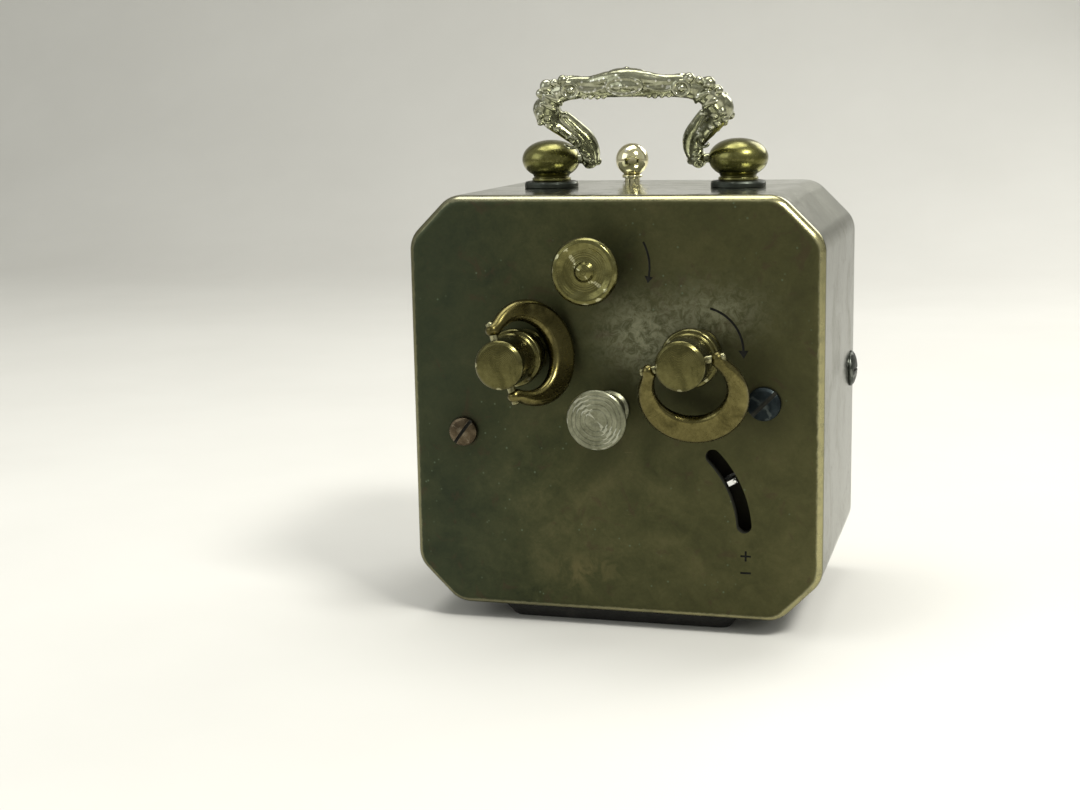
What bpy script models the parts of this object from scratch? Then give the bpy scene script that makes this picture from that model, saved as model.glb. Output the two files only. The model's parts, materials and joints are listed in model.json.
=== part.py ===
"""Miniature carriage alarm clock, 60 mm wide, seen as separate bench pieces.

Frame: +Z up, the dial faces -Y, the back with its keys and knobs faces +Y.
The origin is the centre of the base plate's underside.  Dimensions below are
in millimetres and are converted once, on the way into Blender.
"""

import math

import bmesh
import bpy
from mathutils import Matrix, Vector

MM = 0.001

# ---------------------------------------------------------------- case
CASE_W = 60.0
CASE_H = 60.4
CASE_D = 41.0
CHAMFER = 6.15            # octagon corner, measured along X and Z
CORNER_R = 2.2
EDGE_BEVEL = 1.0
WALL = 1.6
BACK_T = 1.8
BASE_T = 2.4
BASE_W_TOP, BASE_W_BOTTOM, BASE_D = 36.0, 33.0, 36.6
CASE_Z0 = BASE_T
CASE_Z1 = CASE_Z0 + CASE_H
CASE_ZC = (CASE_Z0 + CASE_Z1) / 2
BACK_Y = CASE_D / 2
FRONT_Y = -CASE_D / 2
BACK_IN = BACK_Y - BACK_T

# ---------------------------------------------------------------- arbor positions (X, Z)
CENTRE = (0.0, 32.6)
TIME_WIND = (-12.6, 41.1)
ALARM_WIND = (12.4, 40.6)
ALARM_SET = (1.9, 52.8)
BALANCE = (-3.38, 15.2)
ESCAPE = (9.0, 14.0)

# ---------------------------------------------------------------- movement stack (Y)
BACK_PLATE = (12.5, 14.0)
FRONT_PLATE = (-5.5, -4.0)
PLATE_HALF_X, PLATE_HALF_Z, PLATE_CHAMFER = 26.0, 25.0, 8.0
DIAL_Y = (-12.6, -12.0)
DIAL_R = 23.6
GLASS_Y = (-19.15, -18.25)
GLASS_R = 24.1
BEZEL_Y = (-20.2, -14.0)
OPENING_R = 22.5

# ---------------------------------------------------------------- tooth counts and modules
BARREL_T, CENTRE_PINION_T = 42, 8
TRAIN_WHEEL_T, TRAIN_PINION_T = 42, 6
CENTRE_M, THIRD_M, FOURTH_M = 0.5, 0.4125, 0.36667
CANNON_T, MINUTE_T, MINUTE_PINION_T, HOUR_T = 8, 24, 8, 32
CANNON_M, HOUR_M = 0.5, 0.4
ALARM_BARREL_T, ALARM_PINION_T, ALARM_M = 36, 8, 0.55
ALARM_SET_T, ALARM_WHEEL_T = 14, 35

# ---------------------------------------------------------------- keys, bails, knobs
KEY_HUB_R, KEY_STEM_R = 4.1, 3.5
KEY_Y = (20.9, 27.5, 34.5)          # hub start, shoulder, end face
BAIL_AXIS_Y = BACK_Y + 11.6
# crescent bail: the outer and inner circles have their own centres, measured from the pin line
BAIL_OUT_AT, BAIL_OUT = 5.4, 7.55
BAIL_IN_AT, BAIL_IN = 3.85, 4.9
BAIL_T, BAIL_GAP, BAIL_EAR, BAIL_EAR_AT = 2.0, 3.65, 1.1, 4.8
TIME_BAIL_DIR, TIME_BAIL_TILT = 258.0, 26.0     # degrees in XZ from +X, and toward the plate
ALARM_BAIL_DIR, ALARM_BAIL_TILT = 162.0, 57.0
HAND_KNOB_R, ALARM_KNOB_R = 4.2, 4.7

# ---------------------------------------------------------------- handle
POST_X = 14.25
PIVOT_Z = CASE_Z1 + 4.25
BALL_R, BALL_H = 4.5, 2.9
HANDLE_X = -0.45          # middle of the handle and its posts
HANDLE_LEAN = 45.0
BUTTON = (5.0, -16.5)
BUTTON_BALL_R = 2.6
BUTTON_Z = CASE_Z1 + 3.45

# running clearance, radial
RUN = 0.05

for old in list(bpy.data.objects):
    bpy.data.objects.remove(old, do_unlink=True)

parts = bpy.data.collections.new("carriage_clock")
cutters = bpy.data.collections.new("cutters")
bpy.context.scene.collection.children.link(parts)
bpy.context.scene.collection.children.link(cutters)

FINISH = {
    "patina": ((0.085, 0.080, 0.042), 0.42, 1.0),
    "brass": ((0.42, 0.36, 0.13), 0.28, 1.0),
    "bright": ((0.62, 0.56, 0.28), 0.18, 1.0),
    "silver": ((0.50, 0.49, 0.40), 0.25, 1.0),
    "steel": ((0.45, 0.45, 0.46), 0.30, 1.0),
    "dark": ((0.05, 0.055, 0.06), 0.40, 1.0),
    "copper": ((0.20, 0.12, 0.07), 0.40, 1.0),
    "spring": ((0.10, 0.11, 0.16), 0.30, 1.0),
    "black": ((0.012, 0.011, 0.010), 0.75, 0.0),
    "dial": ((0.72, 0.69, 0.58), 0.50, 0.0),
    "glass": ((0.85, 0.90, 0.90), 0.05, 0.0),
}


def material(name, finish):
    colour, rough, metal = FINISH[finish]
    m = bpy.data.materials.new(name + "_finish")
    m.use_nodes = True
    p = m.node_tree.nodes["Principled BSDF"]
    p.inputs["Base Color"].default_value = (*colour, 1.0)
    p.inputs["Roughness"].default_value = rough
    p.inputs["Metallic"].default_value = metal
    m.diffuse_color = (*colour, 1.0)
    return m


def register(obj, finish=None, cutter=False):
    """Put an object in the parts, or in the cutters as a hidden wire."""
    if cutter:
        cutters.objects.link(obj)
        obj.hide_render = True
        obj.display_type = "WIRE"
    else:
        parts.objects.link(obj)
        obj.data.materials.clear()
        obj.data.materials.append(material(obj.name, finish))
    return obj


def turn_axis(obj, axis):
    """Aim local +Z along a world axis."""
    obj.rotation_euler = {
        "Z": (0, 0, 0),
        "Y": (math.radians(-90), 0, 0),
        "X": (0, math.radians(90), 0),
        "-X": (0, math.radians(-90), 0),
        "-Y": (math.radians(90), 0, 0),
    }[axis]


def lathe(name, profile, at, axis="Z", seg=24, finish="brass", cutter=False, ring=False):
    """A turned piece: (radius, height) points, top to bottom down the outer side."""
    me = bpy.data.meshes.new(name)
    verts = [(r * MM, 0.0, h * MM) for r, h in profile]
    edges = [(i, i + 1) for i in range(len(verts) - 1)]
    if ring:
        edges.append((len(verts) - 1, 0))
    me.from_pydata(verts, edges, [])
    obj = bpy.data.objects.new(name, me)
    s = obj.modifiers.new("turned", "SCREW")
    s.axis = "Z"
    s.angle = 2 * math.pi
    s.steps = seg
    s.render_steps = seg
    s.use_merge_vertices = True
    s.merge_threshold = 1e-7
    s.use_smooth_shade = False
    obj.location = Vector(at) * MM
    turn_axis(obj, axis)
    return register(obj, finish, cutter)


def cylinder(name, r, h0, h1, at, axis="Z", seg=16, finish="brass", cutter=False):
    return lathe(name, [(0, h1), (r, h1), (r, h0), (0, h0)], at, axis, seg, finish, cutter)


def from_curve(name, curve, location, rotation, weld=1e-7):
    """Turn a curve object into a welded mesh object at the same place."""
    tmp = bpy.data.objects.new(name + "_curve", curve)
    tmp.location = location
    tmp.rotation_euler = rotation
    bpy.context.scene.collection.objects.link(tmp)
    bpy.context.view_layer.update()
    graph = bpy.context.evaluated_depsgraph_get()
    me = bpy.data.meshes.new_from_object(tmp.evaluated_get(graph))
    me.name = name
    matrix = tmp.matrix_world.copy()
    bpy.data.objects.remove(tmp, do_unlink=True)
    bm = bmesh.new()
    bm.from_mesh(me)
    bmesh.ops.remove_doubles(bm, verts=bm.verts, dist=weld)
    bmesh.ops.recalc_face_normals(bm, faces=bm.faces)
    bm.to_mesh(me)
    bm.free()
    obj = bpy.data.objects.new(name, me)
    obj.matrix_world = matrix
    return obj


def flat(name, outlines, y0, y1, at=(0.0, 0.0), finish="brass", cutter=False, bevel=0.0, bevel_seg=1):
    """A flat plate in the XZ plane between y0 and y1.

    outlines: the outer loop, then any holes, as (x, z) about `at`.
    """
    cu = bpy.data.curves.new(name, "CURVE")
    cu.dimensions = "2D"
    cu.fill_mode = "BOTH"
    cu.extrude = (y1 - y0) / 2 * MM
    for loop in outlines:
        sp = cu.splines.new("POLY")
        sp.points.add(len(loop) - 1)
        for p, (x, z) in zip(sp.points, loop):
            p.co = (x * MM, -z * MM, 0, 1)
        sp.use_cyclic_u = True
    obj = from_curve(
        name,
        cu,
        (at[0] * MM, (y0 + y1) / 2 * MM, at[1] * MM),
        (math.radians(-90), 0, 0),
    )
    register(obj, finish, cutter)
    if bevel:
        b = obj.modifiers.new("edge", "BEVEL")
        b.width = bevel * MM
        b.segments = bevel_seg
        b.limit_method = "ANGLE"
        b.angle_limit = math.radians(50)
    return obj


def cut(obj, *tools):
    for t in tools:
        m = obj.modifiers.new("cut_" + t.name, "BOOLEAN")
        m.operation = "DIFFERENCE"
        m.solver = "EXACT"
        m.object = t
    return obj


def join(obj, *pieces):
    for t in pieces:
        m = obj.modifiers.new("join_" + t.name, "BOOLEAN")
        m.operation = "UNION"
        m.solver = "EXACT"
        m.object = t
    return obj


# ---------------------------------------------------------------- outlines
def circle(r, n=16, x=0.0, z=0.0, phase=0.0):
    return [
        (
            x + r * math.cos(2 * math.pi * (i + phase) / n),
            z + r * math.sin(2 * math.pi * (i + phase) / n),
        )
        for i in range(n)
    ]


def octagon(hx, hz, c, z=0.0, r=0.0, n=2):
    """Octagon of half sizes hx, hz with corner cut c, its corners rounded by r."""
    pts = [
        (hx, z - hz + c), (hx, z + hz - c), (hx - c, z + hz), (-hx + c, z + hz),
        (-hx, z + hz - c), (-hx, z - hz + c), (-hx + c, z - hz), (hx - c, z - hz),
    ]
    if not r:
        return pts
    out = []
    t = r * math.tan(math.radians(22.5))
    for i, p in enumerate(pts):
        a = Vector(pts[i - 1])
        b = Vector(p)
        d = Vector(pts[(i + 1) % 8])
        u = (a - b).normalized()
        w = (d - b).normalized()
        c0 = b + (u + w).normalized() * (r / math.sin(math.radians(67.5)))
        s = b + u * t - c0
        e = b + w * t - c0
        a0 = math.atan2(s.y, s.x)
        da = math.atan2(e.y, e.x) - a0
        da = (da + math.pi) % (2 * math.pi) - math.pi
        for k in range(n + 1):
            q = a0 + da * k / n
            out.append((c0.x + r * math.cos(q), c0.y + r * math.sin(q)))
    return out


def gear(teeth, module, toward, gap=False, add=0.62, ded=0.85):
    """Straight-flanked pointed clock teeth.  A tooth (or a gap) points along `toward` degrees."""
    rp = teeth * module / 2
    pitch = 2 * math.pi / teeth
    phase = math.radians(toward) + (pitch / 2 if gap else 0.0)
    out = []
    for i in range(teeth):
        a = phase + i * pitch
        for r, q in ((rp - ded * module, -0.5), (rp + add * module, 0.0)):
            out.append((r * math.cos(a + q * pitch), r * math.sin(a + q * pitch)))
    return out


def saw(teeth, r_tip, r_root, lean=1.0, phase=0.0):
    out = []
    for i in range(teeth):
        a = 2 * math.pi * (i + phase) / teeth
        out.append((r_root * math.cos(a), r_root * math.sin(a)))
        b = a + lean * 2 * math.pi / teeth * 0.12
        out.append((r_tip * math.cos(b), r_tip * math.sin(b)))
    return out if lean > 0 else out


def hull2(p, rp, q, rq, n=6):
    """Outline round two circles and their outer tangents."""
    d = Vector(q) - Vector(p)
    base = math.atan2(d.y, d.x)
    open_angle = math.acos(max(-1.0, min(1.0, (rp - rq) / d.length)))
    out = []
    for k in range(n + 1):
        a = base + open_angle + (2 * math.pi - 2 * open_angle) * k / n
        out.append((p[0] + rp * math.cos(a), p[1] + rp * math.sin(a)))
    for k in range(n + 1):
        a = base - open_angle + 2 * open_angle * k / n
        out.append((q[0] + rq * math.cos(a), q[1] + rq * math.sin(a)))
    return out


def spiral(r0, r1, turns, thick, n):
    inner, outer = [], []
    for i in range(n + 1):
        t = i / n
        a = 2 * math.pi * turns * t
        r = r0 + (r1 - r0) * t
        inner.append(((r - thick / 2) * math.cos(a), (r - thick / 2) * math.sin(a)))
        outer.append(((r + thick / 2) * math.cos(a), (r + thick / 2) * math.sin(a)))
    return outer + inner[::-1]


def direction(a, b):
    return math.degrees(math.atan2(b[1] - a[1], b[0] - a[0]))


def distance(a, b):
    return math.hypot(b[0] - a[0], b[1] - a[1])


def polar(c, r, deg):
    return (c[0] + r * math.cos(math.radians(deg)), c[1] + r * math.sin(math.radians(deg)))


def meet(c0, r0, c1, r1, side):
    """The crossing of two circles, on one side of the line between centres."""
    d = distance(c0, c1)
    a = (r0 * r0 - r1 * r1 + d * d) / (2 * d)
    h = math.sqrt(max(r0 * r0 - a * a, 0.0))
    ux, uz = (c1[0] - c0[0]) / d, (c1[1] - c0[1]) / d
    return (c0[0] + a * ux - side * h * uz, c0[1] + a * uz + side * h * ux)


# derived arbor positions
D_CENTRE = (TRAIN_WHEEL_T + TRAIN_PINION_T) * CENTRE_M / 2
D_THIRD = (TRAIN_WHEEL_T + TRAIN_PINION_T) * THIRD_M / 2
D_FOURTH = (TRAIN_WHEEL_T + TRAIN_PINION_T) * FOURTH_M / 2
FOURTH = polar(ESCAPE, D_FOURTH, 34.8)
THIRD = meet(CENTRE, D_CENTRE, FOURTH, D_THIRD, 1)
PALLET = polar(BALANCE, 6.8, direction(BALANCE, ESCAPE))
MINUTE = polar(CENTRE, (CANNON_T + MINUTE_T) * CANNON_M / 2, -45.0)
ALARM_ESCAPE = polar(ALARM_WIND, (ALARM_BARREL_T + ALARM_PINION_T) * ALARM_M / 2, 115.5)
HAMMER = (15.8, 54.2)
BARREL_M = 2 * distance(TIME_WIND, CENTRE) / (BARREL_T + CENTRE_PINION_T)
ALARM_SET_M = 2 * distance(ALARM_SET, CENTRE) / (ALARM_SET_T + ALARM_WHEEL_T)
PILLARS = {"pillar_top": (-2.8, 55.0), "pillar_bottom": (-16.0, 13.5), "pillar_side": (22.9, 32.6)}
POSTS = {"movement_post_copper_screw": (22.1, 28.6), "movement_post_blued_screw": (-21.8, 34.0)}
TIME_CLICK = polar(TIME_WIND, 7.4, 100.0)
ALARM_CLICK = polar(ALARM_WIND, 7.4, -80.0)
SIDE_SCREW_YZ = (-16.5, 33.4)

# ================================================================ case
outer = octagon(CASE_W / 2, CASE_H / 2, CHAMFER, r=CORNER_R, n=2)
inner = octagon(CASE_W / 2 - WALL, CASE_H / 2 - WALL, CHAMFER - WALL * 0.586, r=1.0, n=1)
case = flat("case_body", [outer], FRONT_Y, BACK_Y, (0, CASE_ZC), "patina", bevel=EDGE_BEVEL, bevel_seg=2)
cavity = flat("case_cavity", [inner], FRONT_Y - 1, BACK_IN, (0, CASE_ZC), cutter=True)
cut(case, cavity)
for nm, (x, z), r in (
    ("hole_hands", CENTRE, 1.6), ("hole_time", TIME_WIND, 2.2), ("hole_alarm", ALARM_WIND, 2.2),
    ("hole_set", ALARM_SET, 1.5), ("hole_screw_a", POSTS["movement_post_copper_screw"], 1.25),
    ("hole_screw_b", POSTS["movement_post_blued_screw"], 1.25),
):
    cut(case, cylinder(nm, r, BACK_IN - 1, BACK_Y + 1, (x, 0, z), "Y", 12, cutter=True))

SLOT_R, SLOT_HALF, SLOT_A0, SLOT_A1 = 15.7, 1.05, 135.7, 175.6
slot = []
for k in range(11):
    slot.append(polar((0, 0), SLOT_R + SLOT_HALF, SLOT_A0 + (SLOT_A1 - SLOT_A0) * k / 10))
end = polar((0, 0), SLOT_R, SLOT_A1)
for k in range(1, 5):
    slot.append(polar(end, SLOT_HALF, SLOT_A1 + 36 * k))
for k in range(11):
    slot.append(polar((0, 0), SLOT_R - SLOT_HALF, SLOT_A1 - (SLOT_A1 - SLOT_A0) * k / 10))
end = polar((0, 0), SLOT_R, SLOT_A0)
for k in range(1, 5):
    slot.append(polar(end, SLOT_HALF, SLOT_A0 + 180 + 36 * k))
cut(case, flat("regulator_slot", [slot], BACK_IN - 1, BACK_Y + 1, BALANCE, cutter=True))

for side, sx in (("left", 1), ("right", -1)):
    cut(case, cylinder("hole_post_" + side, 1.35, CASE_Z1 - WALL - 1, CASE_Z1 + 1, (HANDLE_X + sx * POST_X, 0, 0), "Z", 12, cutter=True))
    cut(case, cylinder("hole_side_" + side, 1.1, 25.0, 31.0, (0, SIDE_SCREW_YZ[0], SIDE_SCREW_YZ[1]),
                       "X" if sx > 0 else "-X", 12, cutter=True))
button_hole = cylinder("hole_button", 1.25, CASE_Z1 - 5, CASE_Z1 + 1, (BUTTON[0], BUTTON[1], 0), "Z", 12, cutter=True)
cut(case, button_hole)

base = flat(
    "base_plate",
    [[(-BASE_W_BOTTOM / 2, 0), (BASE_W_BOTTOM / 2, 0), (BASE_W_TOP / 2, BASE_T - 0.02), (-BASE_W_TOP / 2, BASE_T - 0.02)]],
    -BASE_D / 2, BASE_D / 2, (0, 0), "black",
)

# ---------------------------------------------------------------- front: bezel, glass, dial
fit = 0.06
bezel = flat("front_bezel", [octagon(CASE_W / 2 - WALL - fit, CASE_H / 2 - WALL - fit, CHAMFER - WALL * 0.586, r=1.0, n=1),
                             circle(OPENING_R, 32)], BEZEL_Y[0], BEZEL_Y[1], (0, CASE_ZC), "brass")
cut(bezel, flat("bezel_inside", [octagon(CASE_W / 2 - WALL - 1.3, CASE_H / 2 - WALL - 1.3, CHAMFER - WALL * 0.586 - 0.7, r=1.0, n=1)],
                GLASS_Y[1] + 0.03, BEZEL_Y[1] + 1, (0, CASE_ZC), cutter=True))
cut(bezel, flat("bezel_rebate", [circle(GLASS_R + 0.1, 32)], GLASS_Y[0] - 0.03, GLASS_Y[1] + 1, (0, CASE_ZC), cutter=True))
cut(bezel, button_hole)
for side, sx in (("left", 1), ("right", -1)):
    cut(bezel, bpy.data.objects["hole_side_" + side])
flat("glass", [circle(GLASS_R, 32)], GLASS_Y[0], GLASS_Y[1], (0, CASE_ZC), "glass")

dial = flat("dial", [circle(DIAL_R, 32), circle(2.4, 16)], DIAL_Y[0], DIAL_Y[1], CENTRE, "dial")
for nm, sx in (("dial_foot_a", 1), ("dial_foot_b", -1)):
    join(dial, cylinder(nm, 0.8, DIAL_Y[1] - 0.3, FRONT_PLATE[0] - 0.02, (sx * 19.0, 0, CENTRE[1]), "Y", 10, cutter=True))

# ================================================================ movement frame
def plate(name, y, holes):
    loops = [octagon(PLATE_HALF_X, PLATE_HALF_Z, PLATE_CHAMFER, z=0)]
    for (x, z), r in holes:
        loops.append(circle(r / math.cos(math.pi / 8), 8, x - CENTRE[0], z - CENTRE[1]))
    return flat(name, loops, y[0], y[1], CENTRE, "brass")


PIVOT = 0.5
front_holes = [(CENTRE, 0.9 + RUN), (TIME_WIND, 0.9 + RUN), (ALARM_WIND, 0.9 + RUN), (ALARM_SET, 0.9 + RUN)]
back_holes = [(CENTRE, 1.0 + RUN), (TIME_WIND, 1.5 + RUN), (ALARM_WIND, 1.5 + RUN), (ALARM_SET, 0.9 + RUN),
              (TIME_CLICK, 0.7 + RUN), (ALARM_CLICK, 0.7 + RUN)]
for c in (THIRD, FOURTH, ESCAPE, PALLET, BALANCE, ALARM_ESCAPE, HAMMER):
    front_holes.append((c, PIVOT + RUN))
    back_holes.append((c, PIVOT + RUN))
front_holes.append((MINUTE, PIVOT + RUN))
for c in PILLARS.values():
    front_holes.append((c, 0.93))
    back_holes.append((c, 0.93))
for c in POSTS.values():
    back_holes.append((c, 0.93))
plate("movement_front_plate", FRONT_PLATE, front_holes)
plate("movement_back_plate", BACK_PLATE, back_holes)

for nm, (x, z) in PILLARS.items():
    lathe(nm, [(0, BACK_PLATE[1] - 0.05), (0.9, BACK_PLATE[1] - 0.05), (0.9, BACK_PLATE[0] - 0.02), (1.8, BACK_PLATE[0] - 0.02),
               (1.8, FRONT_PLATE[1] + 0.02), (0.9, FRONT_PLATE[1] + 0.02), (0.9, FRONT_PLATE[0] + 0.05), (0, FRONT_PLATE[0] + 0.05)],
          (x, 0, z), "Y", 12, "brass")
for nm, (x, z) in POSTS.items():
    lathe(nm, [(1.05, BACK_IN - 0.03), (1.9, BACK_IN - 0.03), (1.9, BACK_PLATE[1] + 0.02), (0.9, BACK_PLATE[1] + 0.02), (0.9, BACK_PLATE[0] + 0.05),
               (0, BACK_PLATE[0] + 0.05), (0, BACK_PLATE[1] + 1.2), (1.05, BACK_PLATE[1] + 1.2)], (x, 0, z), "Y", 12, "brass", ring=True)


def screw(name, x, z, r, height, slot_deg, finish):
    """Cheese-head screw whose shank enters the post behind the plate."""
    y = BACK_Y + 0.02
    s = lathe(name, [(0, y + height), (r * 0.72, y + height), (r * 0.93, y + height * 0.8), (r, y + height * 0.45), (r, y),
                     (1.0, y), (1.0, BACK_PLATE[1] + 1.6), (0, BACK_PLATE[1] + 1.6)], (x, 0, z), "Y", 14, finish)
    groove = flat(name + "_slot", [[(-r - 1, -0.28), (r + 1, -0.28), (r + 1, 0.28), (-r - 1, 0.28)]], y + height - 0.55, y + height + 1, (x, z), cutter=True)
    groove.data.transform(Matrix.Rotation(math.radians(-slot_deg), 4, "Z"))
    return cut(s, groove)


screw("movement_screw_copper", *POSTS["movement_post_copper_screw"], 2.1, 1.1, 127, "copper")
screw("movement_screw_blued", *POSTS["movement_post_blued_screw"], 2.35, 1.2, 135, "dark")

for side, sx in (("left", 1), ("right", -1)):
    lathe("side_screw_" + side,
          [(0, 31.0), (1.2, 30.9), (2.1, 30.65), (2.65, 30.3), (2.8, CASE_W / 2 + 0.02), (1.05, CASE_W / 2 + 0.02), (1.05, 27.0), (0, 27.0)],
          (0, SIDE_SCREW_YZ[0], SIDE_SCREW_YZ[1]), "X" if sx > 0 else "-X", 16, "dark")

# ================================================================ handle, posts, button
ball = []
for k in range(8):
    a = math.radians(90 - 150 * k / 7)
    ball.append((BALL_R * math.cos(a) if k else 0.0, PIVOT_Z + BALL_H * math.sin(a)))
ball += [(2.5, CASE_Z1 + 1.5), (2.5, CASE_Z1 + 1.0), (1.3, CASE_Z1 + 1.0), (1.3, CASE_Z1 - WALL - 0.03), (2.2, CASE_Z1 - WALL - 0.03), (1.9, CASE_Z1 - WALL - 0.9), (0, CASE_Z1 - WALL - 0.9)]
for side, sx in (("left", 1), ("right", -1)):
    post = lathe("handle_post_" + side, ball, (HANDLE_X + sx * POST_X, 0, 0), "Z", 16, "brass")
    cut(post, cylinder("bore_" + side, 0.76, 9.0, 11.8, (HANDLE_X, 0, PIVOT_Z), "X" if sx > 0 else "-X", 12, cutter=True))
    lathe("post_washer_" + side, [(1.36, CASE_Z1 + 0.98), (4.1, CASE_Z1 + 0.98), (4.1, CASE_Z1 + 0.02), (1.36, CASE_Z1 + 0.02)],
          (HANDLE_X + sx * POST_X, 0, 0), "Z", 18, "dark", ring=True)

# half of the bail's centre line: distance from the middle, distance from the pivot, radius
HANDLE_LINE = [
    (7.9, -0.9, 1.30), (8.1, 2.0, 1.25), (8.9, 4.0, 1.35), (10.6, 6.0, 1.60), (12.3, 7.8, 1.80), (12.9, 10.0, 1.90),
    (12.4, 12.2, 1.70), (10.9, 13.8, 1.60), (8.9, 14.6, 1.60), (6.0, 14.8, 1.45), (3.2, 15.0, 1.50), (0.0, 15.4, 1.70),
]
line = [(a, s, r) for a, s, r in HANDLE_LINE] + [(-a, s, r) for a, s, r in HANDLE_LINE[-2::-1]]
cu = bpy.data.curves.new("handle_line", "CURVE")
cu.dimensions = "3D"
cu.bevel_depth = 1.0 * MM
cu.bevel_resolution = 1
cu.use_fill_caps = True
sp = cu.splines.new("POLY")
sp.points.add(len(line) - 1)
for p, (a, s, r) in zip(sp.points, line):
    p.co = (a * MM, 0, s * MM, 1)
    p.radius = r
# leaning toward the back: local +Z of the bail turns toward +Y
handle = from_curve("handle", cu, (HANDLE_X * MM, 0, PIVOT_Z * MM), (math.radians(-HANDLE_LEAN), 0, 0))
register(handle, "silver")
for side, sx in (("left", 1), ("right", -1)):
    join(handle, cylinder("trunnion_" + side, 0.7, 7.4, 11.6, (HANDLE_X, 0, PIVOT_Z), "X" if sx > 0 else "-X", 12, cutter=True))

knob = []
for k in range(7):
    a = math.radians(90 - 155 * k / 6)
    knob.append((BUTTON_BALL_R * math.cos(a) if k else 0.0, BUTTON_Z + BUTTON_BALL_R * math.sin(a)))
knob += [(1.2, BUTTON_Z - 2.62), (1.2, 57.8), (1.6, 57.8), (1.6, 57.2), (0, 57.2)]
lathe("alarm_stop_button", knob, (BUTTON[0], BUTTON[1], 0), "Z", 14, "bright")


# ================================================================ winding: keys, bails, arbors, barrels, clicks
def bail_outline():
    """Crescent with two ears, (distance out from the pin line, place along it)."""
    bo = math.acos((1.7 - BAIL_OUT_AT) / BAIL_OUT)
    bi = math.pi - math.asin(BAIL_GAP / BAIL_IN)
    ear = [(BAIL_EAR * math.cos(math.radians(q)), BAIL_EAR_AT + BAIL_EAR * math.sin(math.radians(q))) for q in (70, 110, 150, 190, 230, 260)]
    out = [(BAIL_OUT_AT + BAIL_OUT * math.cos(b), BAIL_OUT * math.sin(b)) for b in (-bo + 2 * bo * k / 18 for k in range(19))]
    out += ear
    out += [(BAIL_IN_AT + BAIL_IN * math.cos(b), BAIL_IN * math.sin(b)) for b in (bi - 2 * bi * k / 12 for k in range(13))]
    out += [(t, -a) for t, a in ear[::-1]]
    return out


def bail(name, centre, toward, tilt):
    """A flat C-shaped bail about its pin line, local x outward, local y along the pin."""
    cu = bpy.data.curves.new(name, "CURVE")
    cu.dimensions = "2D"
    cu.fill_mode = "BOTH"
    cu.extrude = BAIL_T / 2 * MM
    sp = cu.splines.new("POLY")
    pts = bail_outline()
    sp.points.add(len(pts) - 1)
    for p, (t, a) in zip(sp.points, pts):
        p.co = (t * MM, a * MM, 0, 1)
    sp.use_cyclic_u = True
    obj = from_curve(name, cu, (0, 0, 0), (0, 0, 0))
    d, th = math.radians(toward), math.radians(tilt)
    out = Vector((math.cos(d) * math.cos(th), -math.sin(th), math.sin(d) * math.cos(th)))
    pin = Vector((-math.sin(d), 0, math.cos(d)))
    nrm = out.cross(pin)
    m = Matrix((out, pin, nrm)).transposed().to_4x4()
    m.translation = Vector((centre[0], BAIL_AXIS_Y, centre[1])) * MM
    obj.matrix_world = m
    register(obj, "brass")
    b = obj.modifiers.new("edge", "BEVEL")
    b.width = 0.55 * MM
    b.segments = 1
    b.limit_method = "ANGLE"
    b.angle_limit = math.radians(50)
    stubs = []
    for k, s in (("a", 1), ("b", -1)):
        stub = cylinder(name + "_pin_" + k, 0.6, 2.0, 4.7, (0, 0, 0), "Z", 10, cutter=True)
        # the stub's own axis is the pin line
        turn = Matrix((nrm, out, pin * 1.0)).transposed().to_4x4() if s > 0 else Matrix((out, nrm, pin * -1.0)).transposed().to_4x4()
        turn.translation = m.translation
        stub.matrix_world = turn
        stubs.append(stub)
    join(obj, *stubs)
    return obj, pin


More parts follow.
